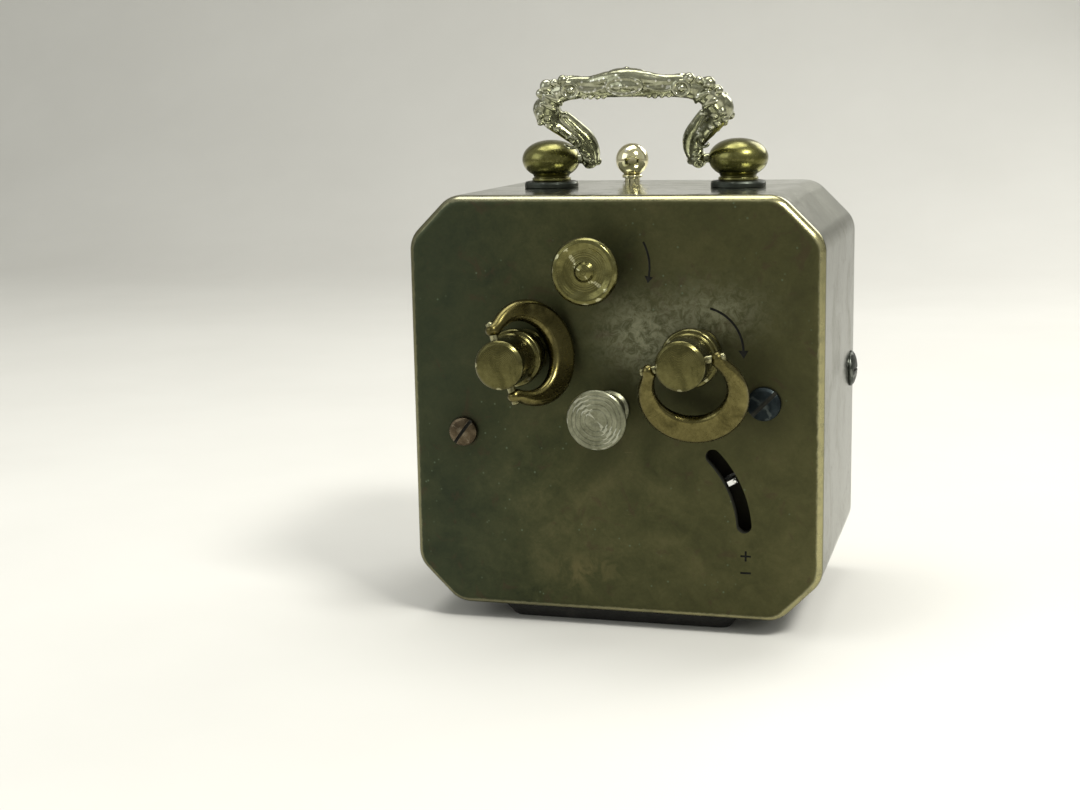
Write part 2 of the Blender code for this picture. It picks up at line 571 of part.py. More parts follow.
def winding(kind, c, click_at, click_side, drum_r, wheel_t, module, mesh_dir, bail_dir, tilt):
    # arbor: front pivot, body through the barrel and both plates, out to the key
    lathe(kind + "_winding_arbor", [(0, 28.5), (1.5, 28.5), (1.5, FRONT_PLATE[1] + 0.1), (0.9, FRONT_PLATE[1] + 0.1), (0.9, FRONT_PLATE[0] + 0.1), (0, FRONT_PLATE[0] + 0.1)],
          (c[0], 0, c[1]), "Y", 12, "steel")
    # key: hub, stem and rounded end, bored for the arbor and cross-bored for the bail's pins
    key = lathe(kind + "_winding_key",
                [(0, KEY_Y[2]), (KEY_STEM_R - 0.55, KEY_Y[2]), (KEY_STEM_R - 0.15, KEY_Y[2] - 0.2), (KEY_STEM_R, KEY_Y[2] - 0.6), (KEY_STEM_R, KEY_Y[1]),
                 (KEY_HUB_R - 0.3, KEY_Y[1]), (KEY_HUB_R, KEY_Y[1] - 0.3), (KEY_HUB_R, KEY_Y[1] - 2.5), (KEY_HUB_R - 0.8, KEY_Y[0]),
                 (1.53, KEY_Y[0]), (1.53, 28.6), (0, 28.6)],
                (c[0], 0, c[1]), "Y", 18, "brass")
    ob, pin = bail(kind + "_key_bail", c, bail_dir, tilt)
    cross = cylinder(kind + "_cross_bore", 0.66, -4.0, 4.0, (0, 0, 0), "Z", 12, cutter=True)
    q = pin.to_track_quat("Z", "Y")
    cross.rotation_euler = q.to_euler()
    cross.location = Vector((c[0], BAIL_AXIS_Y, c[1])) * MM
    cut(key, cross)
    # ratchet wheel and click on the back plate's outer face
    flat(kind + "_ratchet_wheel", [saw(12, 4.6, 3.75), circle(1.53, 16)], BACK_PLATE[1] + 0.3, BACK_PLATE[1] + 1.2, c, "steel")
    reach, tip_r = 4.4, 0.4
    stand = 4.6 + tip_r + 0.12
    dd = distance(c, click_at)
    swing = math.degrees(math.acos((dd * dd + reach * reach - stand * stand) / (2 * dd * reach)))
    tip = polar((0, 0), reach, direction(click_at, c) + click_side * swing)
    click = flat(kind + "_click", [hull2((0, 0), 1.4, tip, tip_r)], BACK_PLATE[1] + 0.3, BACK_PLATE[1] + 1.15, click_at, "steel")
    join(click, cylinder(kind + "_click_stud", 0.7, BACK_PLATE[0] + 0.1, BACK_PLATE[1] + 0.8, (click_at[0], 0, click_at[1]), "Y", 12, cutter=True))
    # barrel: open drum with a toothed rim at its front
    drum = lathe(kind + "_barrel", [(drum_r, 11.5), (drum_r, 4.0), (1.5 + RUN, 4.0), (1.5 + RUN, 4.9), (drum_r - 0.7, 4.9), (drum_r - 0.7, 11.5)],
                 (c[0], 0, c[1]), "Y", 20, "brass", ring=True)
    join(drum, flat(kind + "_barrel_teeth", [gear(wheel_t, module, mesh_dir), circle(drum_r - 0.35, 20)], 4.15, 5.2, c, cutter=True))
    flat(kind + "_mainspring", [spiral(2.3, drum_r - 1.1, 2.5, 0.3, 28)], 5.1, 11.0, c, "spring")


winding("time", TIME_WIND, TIME_CLICK, 1, 11.6, BARREL_T, BARREL_M, direction(TIME_WIND, CENTRE), TIME_BAIL_DIR, TIME_BAIL_TILT)
winding("alarm", ALARM_WIND, ALARM_CLICK, 1, 9.0, ALARM_BARREL_T, ALARM_M, direction(ALARM_WIND, ALARM_ESCAPE), ALARM_BAIL_DIR, ALARM_BAIL_TILT)


# ================================================================ going train
def arbor(name, c, y0, y1, r, pinion=None, wheel=None, finish="brass", extra=()):
    """An arbor between the plates with pivots, joined to its pinion and wheel."""
    a = lathe(name, [(0, BACK_PLATE[1] - 0.1), (PIVOT, BACK_PLATE[1] - 0.1), (PIVOT, y1), (r, y1), (r, y0), (PIVOT, y0), (PIVOT, FRONT_PLATE[0] + 0.1), (0, FRONT_PLATE[0] + 0.1)],
              (c[0], 0, c[1]), "Y", 8, finish)
    if pinion:
        t, m, toward, p0, p1 = pinion
        join(a, flat(name + "_leaves", [gear(t, m, toward, gap=True)], p0, p1, c, cutter=True))
    if wheel:
        loops, w0, w1 = wheel
        join(a, flat(name + "_disc", loops, w0, w1, c, cutter=True))
    join(a, *extra)
    return a


# centre arbor runs from the hand-set knob through both plates to the minute hand
centre = lathe("centre_arbor",
               [(0, 28.2), (1.0, 28.2), (1.0, FRONT_PLATE[1] + 0.1), (0.9, FRONT_PLATE[1] + 0.1), (0.9, FRONT_PLATE[0] - 0.3), (0.6, FRONT_PLATE[0] - 0.3), (0.6, -15.6), (0, -15.6)],
               (CENTRE[0], 0, CENTRE[1]), "Y", 12, "steel")
# the centre wheel and its pinion share one pipe that rides on the arbor, so the hands can be set without the train
centre_wheel = flat("centre_wheel", [gear(TRAIN_WHEEL_T, CENTRE_M, direction(CENTRE, THIRD)), circle(1.04, 12)], 1.5, 2.3, CENTRE, "brass")
join(centre_wheel, flat("centre_leaves", [gear(CENTRE_PINION_T, BARREL_M, direction(CENTRE, TIME_WIND), gap=True), circle(1.04, 12)], 3.85, 5.4, CENTRE, cutter=True))
join(centre_wheel, lathe("centre_pipe", [(1.6, 4.2), (1.6, 1.9), (1.04, 1.9), (1.04, 4.2)], (CENTRE[0], 0, CENTRE[1]), "Y", 12, cutter=True, ring=True))
arbor("third_wheel", THIRD, FRONT_PLATE[1] + 0.1, BACK_PLATE[0] - 0.1, 0.8,
      (TRAIN_PINION_T, CENTRE_M, direction(THIRD, CENTRE), 1.2, 2.6),
      ([gear(TRAIN_WHEEL_T, THIRD_M, direction(THIRD, FOURTH))], -1.0, -0.3))
arbor("fourth_wheel", FOURTH, FRONT_PLATE[1] + 0.1, BACK_PLATE[0] - 0.1, 0.7,
      (TRAIN_PINION_T, THIRD_M, direction(FOURTH, THIRD), -1.3, 0.0),
      ([gear(TRAIN_WHEEL_T, FOURTH_M, direction(FOURTH, ESCAPE))], 5.0, 5.6))
arbor("escape_wheel", ESCAPE, FRONT_PLATE[1] + 0.1, BACK_PLATE[0] - 0.1, 0.65,
      (TRAIN_PINION_T, FOURTH_M, direction(ESCAPE, FOURTH), 4.7, 5.9),
      ([saw(15, 4.4, 3.5)], 8.5, 9.2), finish="steel")

# pallet lever: two arms that straddle the escape wheel's tips, and a fork toward the balance
to_escape = direction(PALLET, ESCAPE)
arms = []
for nm, da in (("a", 66), ("b", -66)):
    arms.append(flat("pallet_arm_" + nm, [hull2((0, 0), 0.9, polar((0, 0), 3.5, to_escape + da), 0.35)], 8.4, 9.3, PALLET, cutter=True))
arms.append(flat("pallet_stem", [hull2((0, 0), 0.8, polar((0, 0), 4.6, to_escape + 180), 0.5)], 8.35, 9.25, PALLET, cutter=True))
arbor("pallet_lever", PALLET, FRONT_PLATE[1] + 0.1, BACK_PLATE[0] - 0.1, 0.7, finish="steel", extra=arms)

# balance: rim, cross bar and staff
rim = flat("balance_rim", [circle(6.0, 20), circle(5.1, 20)], 4.0, 5.2, BALANCE, cutter=True)
bar = flat("balance_bar", [[(-5.4, -0.6), (5.4, -0.6), (5.4, 0.6), (-5.4, 0.6)]], 4.2, 5.0, BALANCE, cutter=True)
arbor("balance_wheel", BALANCE, FRONT_PLATE[1] + 0.1, BACK_PLATE[0] - 0.1, 0.8, extra=[bar, rim])
flat("hairspring", [spiral(1.3, 4.2, 3.0, 0.14, 30)], 11.0, 11.4, BALANCE, "spring")

# regulator: a ring round the balance's rear pivot, an arm, and a tip that stands in the case's slot
REG_A = 152.2
arm = hull2(polar((0, 0), 2.2, REG_A), 0.7, polar((0, 0), 15.7, REG_A), 0.55)
reg = flat("regulator_lever", [circle(2.6, 20), circle(1.2, 16)], BACK_PLATE[1] + 0.3, BACK_PLATE[1] + 1.1, BALANCE, "steel")
join(reg, flat("regulator_arm", [arm], BACK_PLATE[1] + 0.35, BACK_PLATE[1] + 1.05, BALANCE, cutter=True))
ct, st = math.cos(math.radians(REG_A)), math.sin(math.radians(REG_A))
tab = [(r * ct - q * st, r * st + q * ct) for r, q in ((15.0, -0.35), (16.35, -0.35), (16.35, 0.35), (15.0, 0.35))]
join(reg, flat("regulator_tip", [tab], BACK_PLATE[1] + 0.4, BACK_Y - 0.6, BALANCE, cutter=True))

# ================================================================ motion work, hands, alarm setting
flat("cannon_pinion", [gear(CANNON_T, CANNON_M, direction(CENTRE, MINUTE)), circle(0.63, 12)], -7.0, -6.1, CENTRE, "steel")
cannon_pipe = lathe("cannon_pipe", [(1.05, -6.5), (1.05, -14.9), (0.63, -14.9), (0.63, -6.5)], (CENTRE[0], 0, CENTRE[1]), "Y", 12, cutter=True, ring=True)
join(bpy.data.objects["cannon_pinion"], cannon_pipe)

minute = lathe("minute_wheel", [(0, FRONT_PLATE[1] - 0.1), (PIVOT, FRONT_PLATE[1] - 0.1), (PIVOT, FRONT_PLATE[0] - 0.3), (0.8, FRONT_PLATE[0] - 0.3), (0.8, -8.6), (0, -8.6)],
               (MINUTE[0], 0, MINUTE[1]), "Y", 10, "brass")
join(minute, flat("minute_disc", [gear(MINUTE_T, CANNON_M, direction(MINUTE, CENTRE), gap=True)], -6.9, -6.2, MINUTE, cutter=True))
join(minute, flat("minute_leaves", [gear(MINUTE_PINION_T, HOUR_M, direction(MINUTE, CENTRE), gap=True)], -8.5, -7.4, MINUTE, cutter=True))

hour = flat("hour_wheel", [gear(HOUR_T, HOUR_M, direction(CENTRE, MINUTE)), circle(1.05 + RUN, 12)], -8.3, -7.6, CENTRE, "brass")
join(hour, lathe("hour_pipe", [(1.55, -8.0), (1.55, -14.2), (1.05 + RUN, -14.2), (1.05 + RUN, -8.0)], (CENTRE[0], 0, CENTRE[1]), "Y", 12, cutter=True, ring=True))

alarm_wheel = flat("alarm_wheel", [gear(ALARM_WHEEL_T, ALARM_SET_M, direction(CENTRE, ALARM_SET)), circle(1.64, 16)], -10.1, -9.3, CENTRE, "brass")
join(alarm_wheel, lathe("alarm_pipe", [(2.1, -9.7), (2.1, -13.3), (1.64, -13.3), (1.64, -9.7)], (CENTRE[0], 0, CENTRE[1]), "Y", 16, cutter=True, ring=True))

lathe("alarm_set_arbor", [(0, 27.0), (0.9, 27.0), (0.9, -10.3), (0, -10.3)], (ALARM_SET[0], 0, ALARM_SET[1]), "Y", 12, "steel")
join(bpy.data.objects["alarm_set_arbor"], flat("alarm_set_leaves", [gear(ALARM_SET_T, ALARM_SET_M, direction(ALARM_SET, CENTRE), gap=True)], -10.15, -9.25, ALARM_SET, cutter=True))


def hand(name, y, hub, bore, length, width, toward, finish):
    """A flat spade hand with a hub, pointing along `toward` degrees."""
    ct, st = math.cos(math.radians(toward)), math.sin(math.radians(toward))
    shape = [(hub * 0.9, width * 0.5), (length * 0.62, width * 0.5), (length * 0.70, width * 1.3), (length * 0.80, width * 1.1), (length, 0.06),
             (length * 0.80, -width * 1.1), (length * 0.70, -width * 1.3), (length * 0.62, -width * 0.5), (hub * 0.9, -width * 0.5)]
    a0 = math.asin(width * 0.5 / hub)
    ring = [(hub * math.cos(a), hub * math.sin(a)) for a in [-(a0) - (2 * math.pi - 2 * a0) * k / 14 for k in range(1, 14)]]
    pts = shape + ring
    return flat(name, [[(x * ct - z * st, x * st + z * ct) for x, z in pts], circle(bore, 12)], y[0], y[1], CENTRE, finish)


# ten past ten, alarm at the quarter before twelve
hand("alarm_hand", (-13.25, -12.95), 2.7, 2.18, 9.0, 0.7, 112.5, "bright")
hand("hour_hand", (-14.15, -13.8), 2.2, 1.58, 12.5, 1.0, 145.0, "dark")
hand("minute_hand", (-14.85, -14.5), 1.7, 1.08, 19.0, 0.8, 30.0, "dark")

# hand-set knob: thin neck, turned cap with shallow rings
lathe("hand_set_knob", [(0, 29.5), (1.2, 29.5), (1.4, 29.65), (HAND_KNOB_R - 0.4, 29.65), (HAND_KNOB_R, 29.4), (HAND_KNOB_R, 29.05), (HAND_KNOB_R - 0.3, 28.85),
                        (2.3, 28.5), (2.3, 21.0), (1.03, 21.0), (1.03, 28.3), (0, 28.3)], (CENTRE[0], 0, CENTRE[1]), "Y", 20, "silver")
lathe("alarm_set_knob", [(0, 28.3), (0.8, 28.15), (1.2, 27.75), (ALARM_KNOB_R - 0.9, 27.75), (ALARM_KNOB_R - 0.5, 28.0), (ALARM_KNOB_R, 27.6), (ALARM_KNOB_R - 0.2, 26.9), (3.4, 26.2),
                         (2.1, 26.0), (2.1, 21.0), (0.93, 21.0), (0.93, 27.1), (0, 27.1)], (ALARM_SET[0], 0, ALARM_SET[1]), "Y", 20, "brass")

# ================================================================ alarm train
arbor("alarm_escape_wheel", ALARM_ESCAPE, FRONT_PLATE[1] + 0.1, BACK_PLATE[0] - 0.1, 0.7,
      (ALARM_PINION_T, ALARM_M, direction(ALARM_ESCAPE, ALARM_WIND), 3.85, 5.4),
      ([saw(12, 4.1, 3.2)], 0.5, 1.3), finish="steel")
to_wheel = direction(HAMMER, ALARM_ESCAPE)
swing_arms = []
for nm, da in (("a", 38), ("b", -38)):
    swing_arms.append(flat("hammer_arm_" + nm, [hull2((0, 0), 1.0, polar((0, 0), 5.6, to_wheel + da), 0.4)], 0.4, 1.4, HAMMER, cutter=True))
swing_arms.append(flat("hammer_tail", [hull2((0, 0), 0.9, polar((0, 0), 5.4, 48), 0.9)], 0.35, 1.45, HAMMER, cutter=True))
arbor("alarm_hammer", HAMMER, FRONT_PLATE[1] + 0.1, BACK_PLATE[0] - 0.1, 0.8, finish="steel", extra=swing_arms)
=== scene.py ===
"""Looks for the miniature carriage alarm clock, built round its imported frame.

Lengths in this script are millimetres and are turned into metres when a mesh is made.
"""

import json
import math

import bmesh
import bpy
import numpy as np
from mathutils import Matrix, Vector, noise


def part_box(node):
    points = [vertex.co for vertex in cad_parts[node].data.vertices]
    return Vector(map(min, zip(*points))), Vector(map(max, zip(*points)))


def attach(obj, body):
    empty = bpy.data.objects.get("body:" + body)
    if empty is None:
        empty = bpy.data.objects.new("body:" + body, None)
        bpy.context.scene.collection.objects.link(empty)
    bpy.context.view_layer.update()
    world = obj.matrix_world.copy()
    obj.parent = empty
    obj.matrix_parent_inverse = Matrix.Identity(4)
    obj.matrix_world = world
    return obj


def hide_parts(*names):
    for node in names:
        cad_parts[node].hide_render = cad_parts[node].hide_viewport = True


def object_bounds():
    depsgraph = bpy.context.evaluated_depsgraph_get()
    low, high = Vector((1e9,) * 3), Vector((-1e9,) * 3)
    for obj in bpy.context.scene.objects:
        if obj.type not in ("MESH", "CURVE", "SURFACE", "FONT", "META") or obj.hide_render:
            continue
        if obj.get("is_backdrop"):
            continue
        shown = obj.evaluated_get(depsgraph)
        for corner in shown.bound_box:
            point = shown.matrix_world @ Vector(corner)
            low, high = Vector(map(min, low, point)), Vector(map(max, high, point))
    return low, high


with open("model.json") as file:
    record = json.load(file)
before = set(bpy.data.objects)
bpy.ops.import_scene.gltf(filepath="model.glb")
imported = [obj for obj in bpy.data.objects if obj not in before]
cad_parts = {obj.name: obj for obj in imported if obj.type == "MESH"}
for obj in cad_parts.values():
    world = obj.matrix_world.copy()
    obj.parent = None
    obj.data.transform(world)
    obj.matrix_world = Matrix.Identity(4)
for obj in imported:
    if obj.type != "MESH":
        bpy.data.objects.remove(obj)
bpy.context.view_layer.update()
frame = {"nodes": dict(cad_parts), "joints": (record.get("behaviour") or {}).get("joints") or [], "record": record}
MM = 0.001
TAU = 2 * math.pi
JOINT = {j["name"]: j for j in frame["joints"]}


def pivot(name):
    x, y, z = JOINT[name]["pos_m"]
    return x * 1000, y * 1000, z * 1000


def box(name):
    lo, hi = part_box(name)
    return lo * 1000, hi * 1000


# ---------------------------------------------------------------- places, from the frame
LO, HI = box("case_body")
CASE_W, CASE_H, CASE_D = HI.x - LO.x, HI.z - LO.z, HI.y - LO.y
ZC, Z1, BACK, FRONT = (HI.z + LO.z) / 2, HI.z, HI.y, LO.y
CHAMFER, CORNER, WALL, BACK_T = 6.15, 4.2, 1.6, 1.8
TIME, ALARM = pivot("time_winding_turn"), pivot("alarm_winding_turn")
CENTRE, SET, BAL = pivot("hand_setting_turn"), pivot("alarm_setting_turn"), pivot("regulator_turn")
PIVOT_Z = pivot("handle_fold")[2]
BAIL_Y = pivot("time_bail_fold")[1]
pl, ph = box("handle_post_left")
pr, qr = box("handle_post_right")
POST_L, POST_R = (pl.x + ph.x) / 2, (pr.x + qr.x) / 2
HANDLE_X = (POST_L + POST_R) / 2
bl, bh = box("alarm_stop_button")
BUTTON = ((bl.x + bh.x) / 2, (bl.y + bh.y) / 2, bh.z)


# ================================================================ node materials
class Look:
    """A small node builder; positions are the piece's own, in millimetres."""

    def __init__(self, name):
        self.m = bpy.data.materials.new(name)
        self.m.use_nodes = True
        self.t = self.m.node_tree
        self.t.nodes.clear()
        self.tc = self.t.nodes.new("ShaderNodeTexCoord")
        self.p = self.scaled(self.tc.outputs["Object"], (1000, 1000, 1000))
        self.geo = self.t.nodes.new("ShaderNodeNewGeometry")

    def put(self, socket, value):
        if isinstance(value, bpy.types.NodeSocket):
            self.t.links.new(value, socket)
        elif isinstance(value, (tuple, list)) and len(value) == 3 and socket.type == "RGBA":
            socket.default_value = (*value, 1.0)
        else:
            socket.default_value = value

    def scaled(self, vec, s, rot=(0, 0, 0)):
        n = self.t.nodes.new("ShaderNodeMapping")
        self.put(n.inputs["Vector"], vec)
        n.inputs["Scale"].default_value = s
        n.inputs["Rotation"].default_value = rot
        return n.outputs[0]

    def noise(self, scale, detail=4.0, rough=0.55, distort=0.0, vec=None):
        n = self.t.nodes.new("ShaderNodeTexNoise")
        self.put(n.inputs["Vector"], self.p if vec is None else vec)
        n.inputs["Scale"].default_value = scale
        n.inputs["Detail"].default_value = detail
        n.inputs["Roughness"].default_value = rough
        n.inputs["Distortion"].default_value = distort
        return n.outputs["Fac"]

    def cells(self, scale, feature="F1", vec=None):
        n = self.t.nodes.new("ShaderNodeTexVoronoi")
        n.feature = feature
        self.put(n.inputs["Vector"], self.p if vec is None else vec)
        n.inputs["Scale"].default_value = scale
        return n.outputs["Distance"]

    def rings(self, pitch, distort=0.06, vec=None):
        """Turning rings about the piece's own Z axis."""
        n = self.t.nodes.new("ShaderNodeTexWave")
        n.wave_type = "RINGS"
        n.rings_direction = "Z"
        self.put(n.inputs["Vector"], self.p if vec is None else vec)
        n.inputs["Scale"].default_value = 0.314 / pitch
        n.inputs["Distortion"].default_value = distort
        n.inputs["Detail"].default_value = 3.0
        n.inputs["Detail Scale"].default_value = 1.4
        return n.outputs["Fac"]

    def math(self, op, a, b=0.0, clamp=False):
        n = self.t.nodes.new("ShaderNodeMath")
        n.operation = op
        n.use_clamp = clamp
        self.put(n.inputs[0], a)
        self.put(n.inputs[1], b)
        return n.outputs[0]

    def step(self, v, lo, hi, out_lo=0.0, out_hi=1.0):
        n = self.t.nodes.new("ShaderNodeMapRange")
        n.interpolation_type = "SMOOTHSTEP"
        self.put(n.inputs["Value"], v)
        n.inputs["From Min"].default_value = lo
        n.inputs["From Max"].default_value = hi
        n.inputs["To Min"].default_value = out_lo
        n.inputs["To Max"].default_value = out_hi
        return n.outputs["Result"]

    def ramp(self, v, *stops):
        n = self.t.nodes.new("ShaderNodeValToRGB")
        e = n.color_ramp.elements
        while len(e) < len(stops):
            e.new(0.5)
        for el, (pos, col) in zip(e, stops):
            el.position = pos
            el.color = (*col, 1.0)
        self.put(n.inputs["Fac"], v)
        return n.outputs["Color"]

    def mix(self, f, a, b, mode="MIX"):
        n = self.t.nodes.new("ShaderNodeMix")
        n.data_type = "RGBA"
        n.blend_type = mode
        self.put(n.inputs[0], f)
        self.put(n.inputs[6], a)
        self.put(n.inputs[7], b)
        return n.outputs[2]

    def split(self, v):
        n = self.t.nodes.new("ShaderNodeSeparateXYZ")
        self.put(n.inputs[0], v)
        return n.outputs

    def spot(self, xyz, x, z, rx, rz):
        """1 at (x, z) in the piece's own XZ plane, fading out past the radii."""
        dx = self.math("DIVIDE", self.math("SUBTRACT", xyz[0], x), rx)
        dz = self.math("DIVIDE", self.math("SUBTRACT", xyz[2], z), rz)
        d = self.math("ADD", self.math("MULTIPLY", dx, dx), self.math("MULTIPLY", dz, dz))
        return self.math("POWER", 2.718, self.math("MULTIPLY", d, -1.0))

    def bump(self, height, strength, distance=0.1, normal=None):
        n = self.t.nodes.new("ShaderNodeBump")
        n.inputs["Strength"].default_value = strength
        n.inputs["Distance"].default_value = distance * MM
        self.put(n.inputs["Height"], height)
        if normal is not None:
            self.put(n.inputs["Normal"], normal)
        return n.outputs["Normal"]

    def done(self, base, rough, metallic=1.0, normal=None, **extra):
        b = self.t.nodes.new("ShaderNodeBsdfPrincipled")
        o = self.t.nodes.new("ShaderNodeOutputMaterial")
        self.put(b.inputs["Base Color"], base)
        self.put(b.inputs["Roughness"], rough)
        self.put(b.inputs["Metallic"], metallic)
        if normal is not None:
            self.put(b.inputs["Normal"], normal)
        for k, v in extra.items():
            self.put(b.inputs[k.replace("_", " ")], v)
        self.t.links.new(b.outputs[0], o.inputs[0])
        return self.m


def metal(name, dark, mid, light, rough=(0.28, 0.5), worn=None, wear=0.55, soot=0.6, blotch=0.22, pitch=None, ring_bump=0.25,
          grain=0.12, metallic=1.0, point=(0.47, 0.50, 0.515, 0.56)):
    """Tarnished metal: blotches, soot in the hollows, worn metal on the crests, turning rings and fine scratches."""
    g = Look(name)
    big = g.noise(blotch, 5, 0.6, 0.8)
    fine = g.noise(blotch * 9, 6, 0.65)
    v = g.math("ADD", g.math("MULTIPLY", big, 0.72), g.math("MULTIPLY", fine, 0.28))
    col = g.ramp(v, (0.34, dark), (0.50, mid), (0.68, light))
    p = g.geo.outputs["Pointiness"]
    hollow = g.math("MULTIPLY", g.step(p, point[1], point[0]), soot)
    crest = g.math("MULTIPLY", g.step(g.math("ADD", p, g.math("MULTIPLY", g.math("SUBTRACT", fine, 0.5), 0.05)), point[2], point[3]), wear)
    col = g.mix(hollow, col, tuple(c * 0.22 for c in dark))
    col = g.mix(crest, col, worn or tuple(min(1.0, c * 1.9) for c in light))
    scr = g.noise(1.0, 5, 0.7, 0.0, g.scaled(g.p, (0.5, 7.0, 3.0), (0.4, 0.2, 0.7)))
    r = g.math("ADD", g.step(v, 0.3, 0.7, rough[1], rough[0]), g.math("MULTIPLY", g.math("SUBTRACT", scr, 0.5), 0.22))
    r = g.math("SUBTRACT", g.math("ADD", r, g.math("MULTIPLY", hollow, 0.25)), g.math("MULTIPLY", crest, 0.08), True)
    n = g.bump(g.math("ADD", g.noise(3.2, 5, 0.6), g.math("MULTIPLY", scr, 0.4)), grain, 0.05)
    if pitch:
        n = g.bump(g.rings(pitch), ring_bump, 0.06, n)
    return g.done(col, r, metallic, n)


def case_look():
    g = Look("case_patina")
    xyz = g.split(g.p)
    nrm = g.split(g.tc.outputs["Normal"])
    rag = g.noise(1.3, 6, 0.7)
    ny = g.math("ADD", nrm[1], g.math("MULTIPLY", g.math("SUBTRACT", rag, 0.5), 0.16))
    back = g.step(ny, 0.80, 0.95)
    rim = g.math("MULTIPLY", g.step(ny, 0.10, 0.38), g.math("SUBTRACT", 1.0, back))
    # ---- dark plate
    big = g.noise(0.055, 5, 0.62, 1.2)
    mid = g.noise(0.33, 6, 0.66, 0.6)
    fine = g.noise(2.6, 6, 0.7)
    v = g.math("ADD", g.math("ADD", g.math("MULTIPLY", big, 0.46), g.math("MULTIPLY", mid, 0.34)), g.math("MULTIPLY", fine, 0.20))
    col = g.ramp(v, (0.36, (0.032, 0.036, 0.019)), (0.47, (0.052, 0.056, 0.026)), (0.56, (0.070, 0.071, 0.033)), (0.67, (0.100, 0.094, 0.045)))
    warm = g.math("MULTIPLY", g.step(xyz[0], 14.0, -26.0), 0.55)
    col = g.mix(warm, col, g.mix(0.5, col, (0.108, 0.094, 0.038)))
    cool = g.math("MULTIPLY", g.step(xyz[0], 4.0, 27.0), 0.5)
    col = g.mix(cool, col, (0.036, 0.048, 0.033))
    rust = g.math("MULTIPLY", g.step(g.noise(0.21, 6, 0.7, 1.5), 0.56, 0.68), 0.5)
    col = g.mix(rust, col, (0.064, 0.045, 0.029))
    # painted shadow below the keys and knobs, and soot round the two screws, broken up by noise
    for (x, z, r, k) in ((TIME[0] + 1.5, TIME[2] - 3.5, 9.0, 0.50), (ALARM[0], ALARM[2] - 1.0, 8.5, 0.34), (SET[0] - 2.0, SET[2] - 2.5, 6.0, 0.36),
                         (22.1, 28.6, 4.2, 0.35), (-21.8, 33.2, 4.4, 0.5), (CENTRE[0] + 1.0, CENTRE[2] - 4.5, 5.5, 0.4)):
        f = g.math("MULTIPLY", g.math("MULTIPLY", g.spot(xyz, x, z, r, r), k), g.step(mid, 0.35, 0.62, 0.55, 1.25), True)
        col = g.mix(f, col, (0.017, 0.018, 0.011))
    # grey-green dusty bloom between the knobs
    dust = g.math("ADD", g.math("MULTIPLY", g.spot(xyz, -4.6, 43.2, 5.2, 4.6), 0.85), g.math("MULTIPLY", g.spot(xyz, -14.5, 46.6, 6.2, 3.6), 0.62))
    dust = g.math("MULTIPLY", dust, g.step(g.noise(0.8, 7, 0.75, 0.8), 0.36, 0.64, 0.18, 1.15), True)
    col = g.mix(dust, col, (0.205, 0.205, 0.125))
    low = g.math("MULTIPLY", g.spot(xyz, 4.0, 8.5, 4.0, 2.2), g.math("MULTIPLY", g.step(mid, 0.45, 0.6), 0.5), True)
    col = g.mix(low, col, (0.155, 0.130, 0.060))
    # verdigris specks and pin scratches
    speck = g.math("MULTIPLY", g.step(g.cells(0.75), 0.16, 0.05), g.step(g.noise(0.12, 3), 0.50, 0.62))
    col = g.mix(g.math("MULTIPLY", speck, 0.6), col, (0.13, 0.17, 0.11))
    scr = g.noise(1.0, 7, 0.8, 0.3, g.scaled(g.p, (0.16, 1.0, 4.0), (0, 0.5, 0)))
    scr2 = g.noise(1.0, 7, 0.8, 0.3, g.scaled(g.p, (5.0, 1.0, 0.2), (0, 0.2, 0)))
    line = g.math("ADD", g.step(scr, 0.66, 0.70), g.step(scr2, 0.67, 0.71), True)
    col = g.mix(g.math("MULTIPLY", line, 0.35), col, (0.26, 0.23, 0.12))
    # ---- polished sides and top
    smear = g.noise(0.10, 5, 0.6, 1.0)
    side = g.ramp(smear, (0.30, (0.075, 0.078, 0.052)), (0.52, (0.112, 0.116, 0.082)), (0.72, (0.155, 0.158, 0.115)))
    fog = g.math("MULTIPLY", g.step(g.noise(0.9, 6, 0.7), 0.5, 0.75), 0.35)
    side = g.mix(fog, side, (0.10, 0.098, 0.060))
    # painted reflection: faces turned upward are coloured lighter
    painted_top_reflection = g.step(nrm[2], 0.45, 0.9)
    side = g.mix(painted_top_reflection, side, (0.33, 0.335, 0.275))
    col = g.mix(g.math("SUBTRACT", 1.0, back), col, side)
    # ---- exposed brass along the rounded edge: real edge wear, with a painted highlight that grows toward -X
    edge_wear_and_highlight = g.math("MULTIPLY", rim, g.step(g.noise(0.5, 6, 0.7), 0.30, 0.55, 0.55, 1.0))
    # painted highlight: the edge brass is made stronger toward the -X side
    edge_wear_and_highlight = g.math("MULTIPLY", edge_wear_and_highlight, g.step(xyz[0], 24.0, -20.0, 0.45, 1.0))
    col = g.mix(edge_wear_and_highlight, col, (0.36, 0.335, 0.175))
    rb = g.math("ADD", g.step(v, 0.38, 0.66, 0.50, 0.36), g.math("MULTIPLY", dust, 0.28))
    rb = g.math("ADD", rb, g.math("MULTIPLY", g.math("SUBTRACT", fine, 0.5), 0.25))
    rs = g.math("ADD", g.step(smear, 0.35, 0.7, 0.10, 0.20), g.math("MULTIPLY", fog, 0.3))
    r = g.math("ADD", g.math("MULTIPLY", back, rb), g.math("MULTIPLY", g.math("SUBTRACT", 1.0, back), rs))
    r = g.math("ADD", r, g.math("MULTIPLY", edge_wear_and_highlight, 0.10), True)
    h = g.math("ADD", g.math("MULTIPLY", fine, 0.6), g.math("MULTIPLY", g.math("ADD", scr, scr2), 0.35))
    n = g.bump(g.math("MULTIPLY", h, back), 0.30, 0.06)
    n = g.bump(g.noise(0.06, 3), 0.12, 0.5, n)
    met = g.math("SUBTRACT", 1.0, g.math("MULTIPLY", g.math("MULTIPLY", dust, back), 0.6))
    tint = g.mix(g.math("MAXIMUM", back, painted_top_reflection), (0.66, 0.66, 0.64), (1.0, 1.0, 1.0))
    return g.done(col, r, met, n, Specular_Tint=tint)


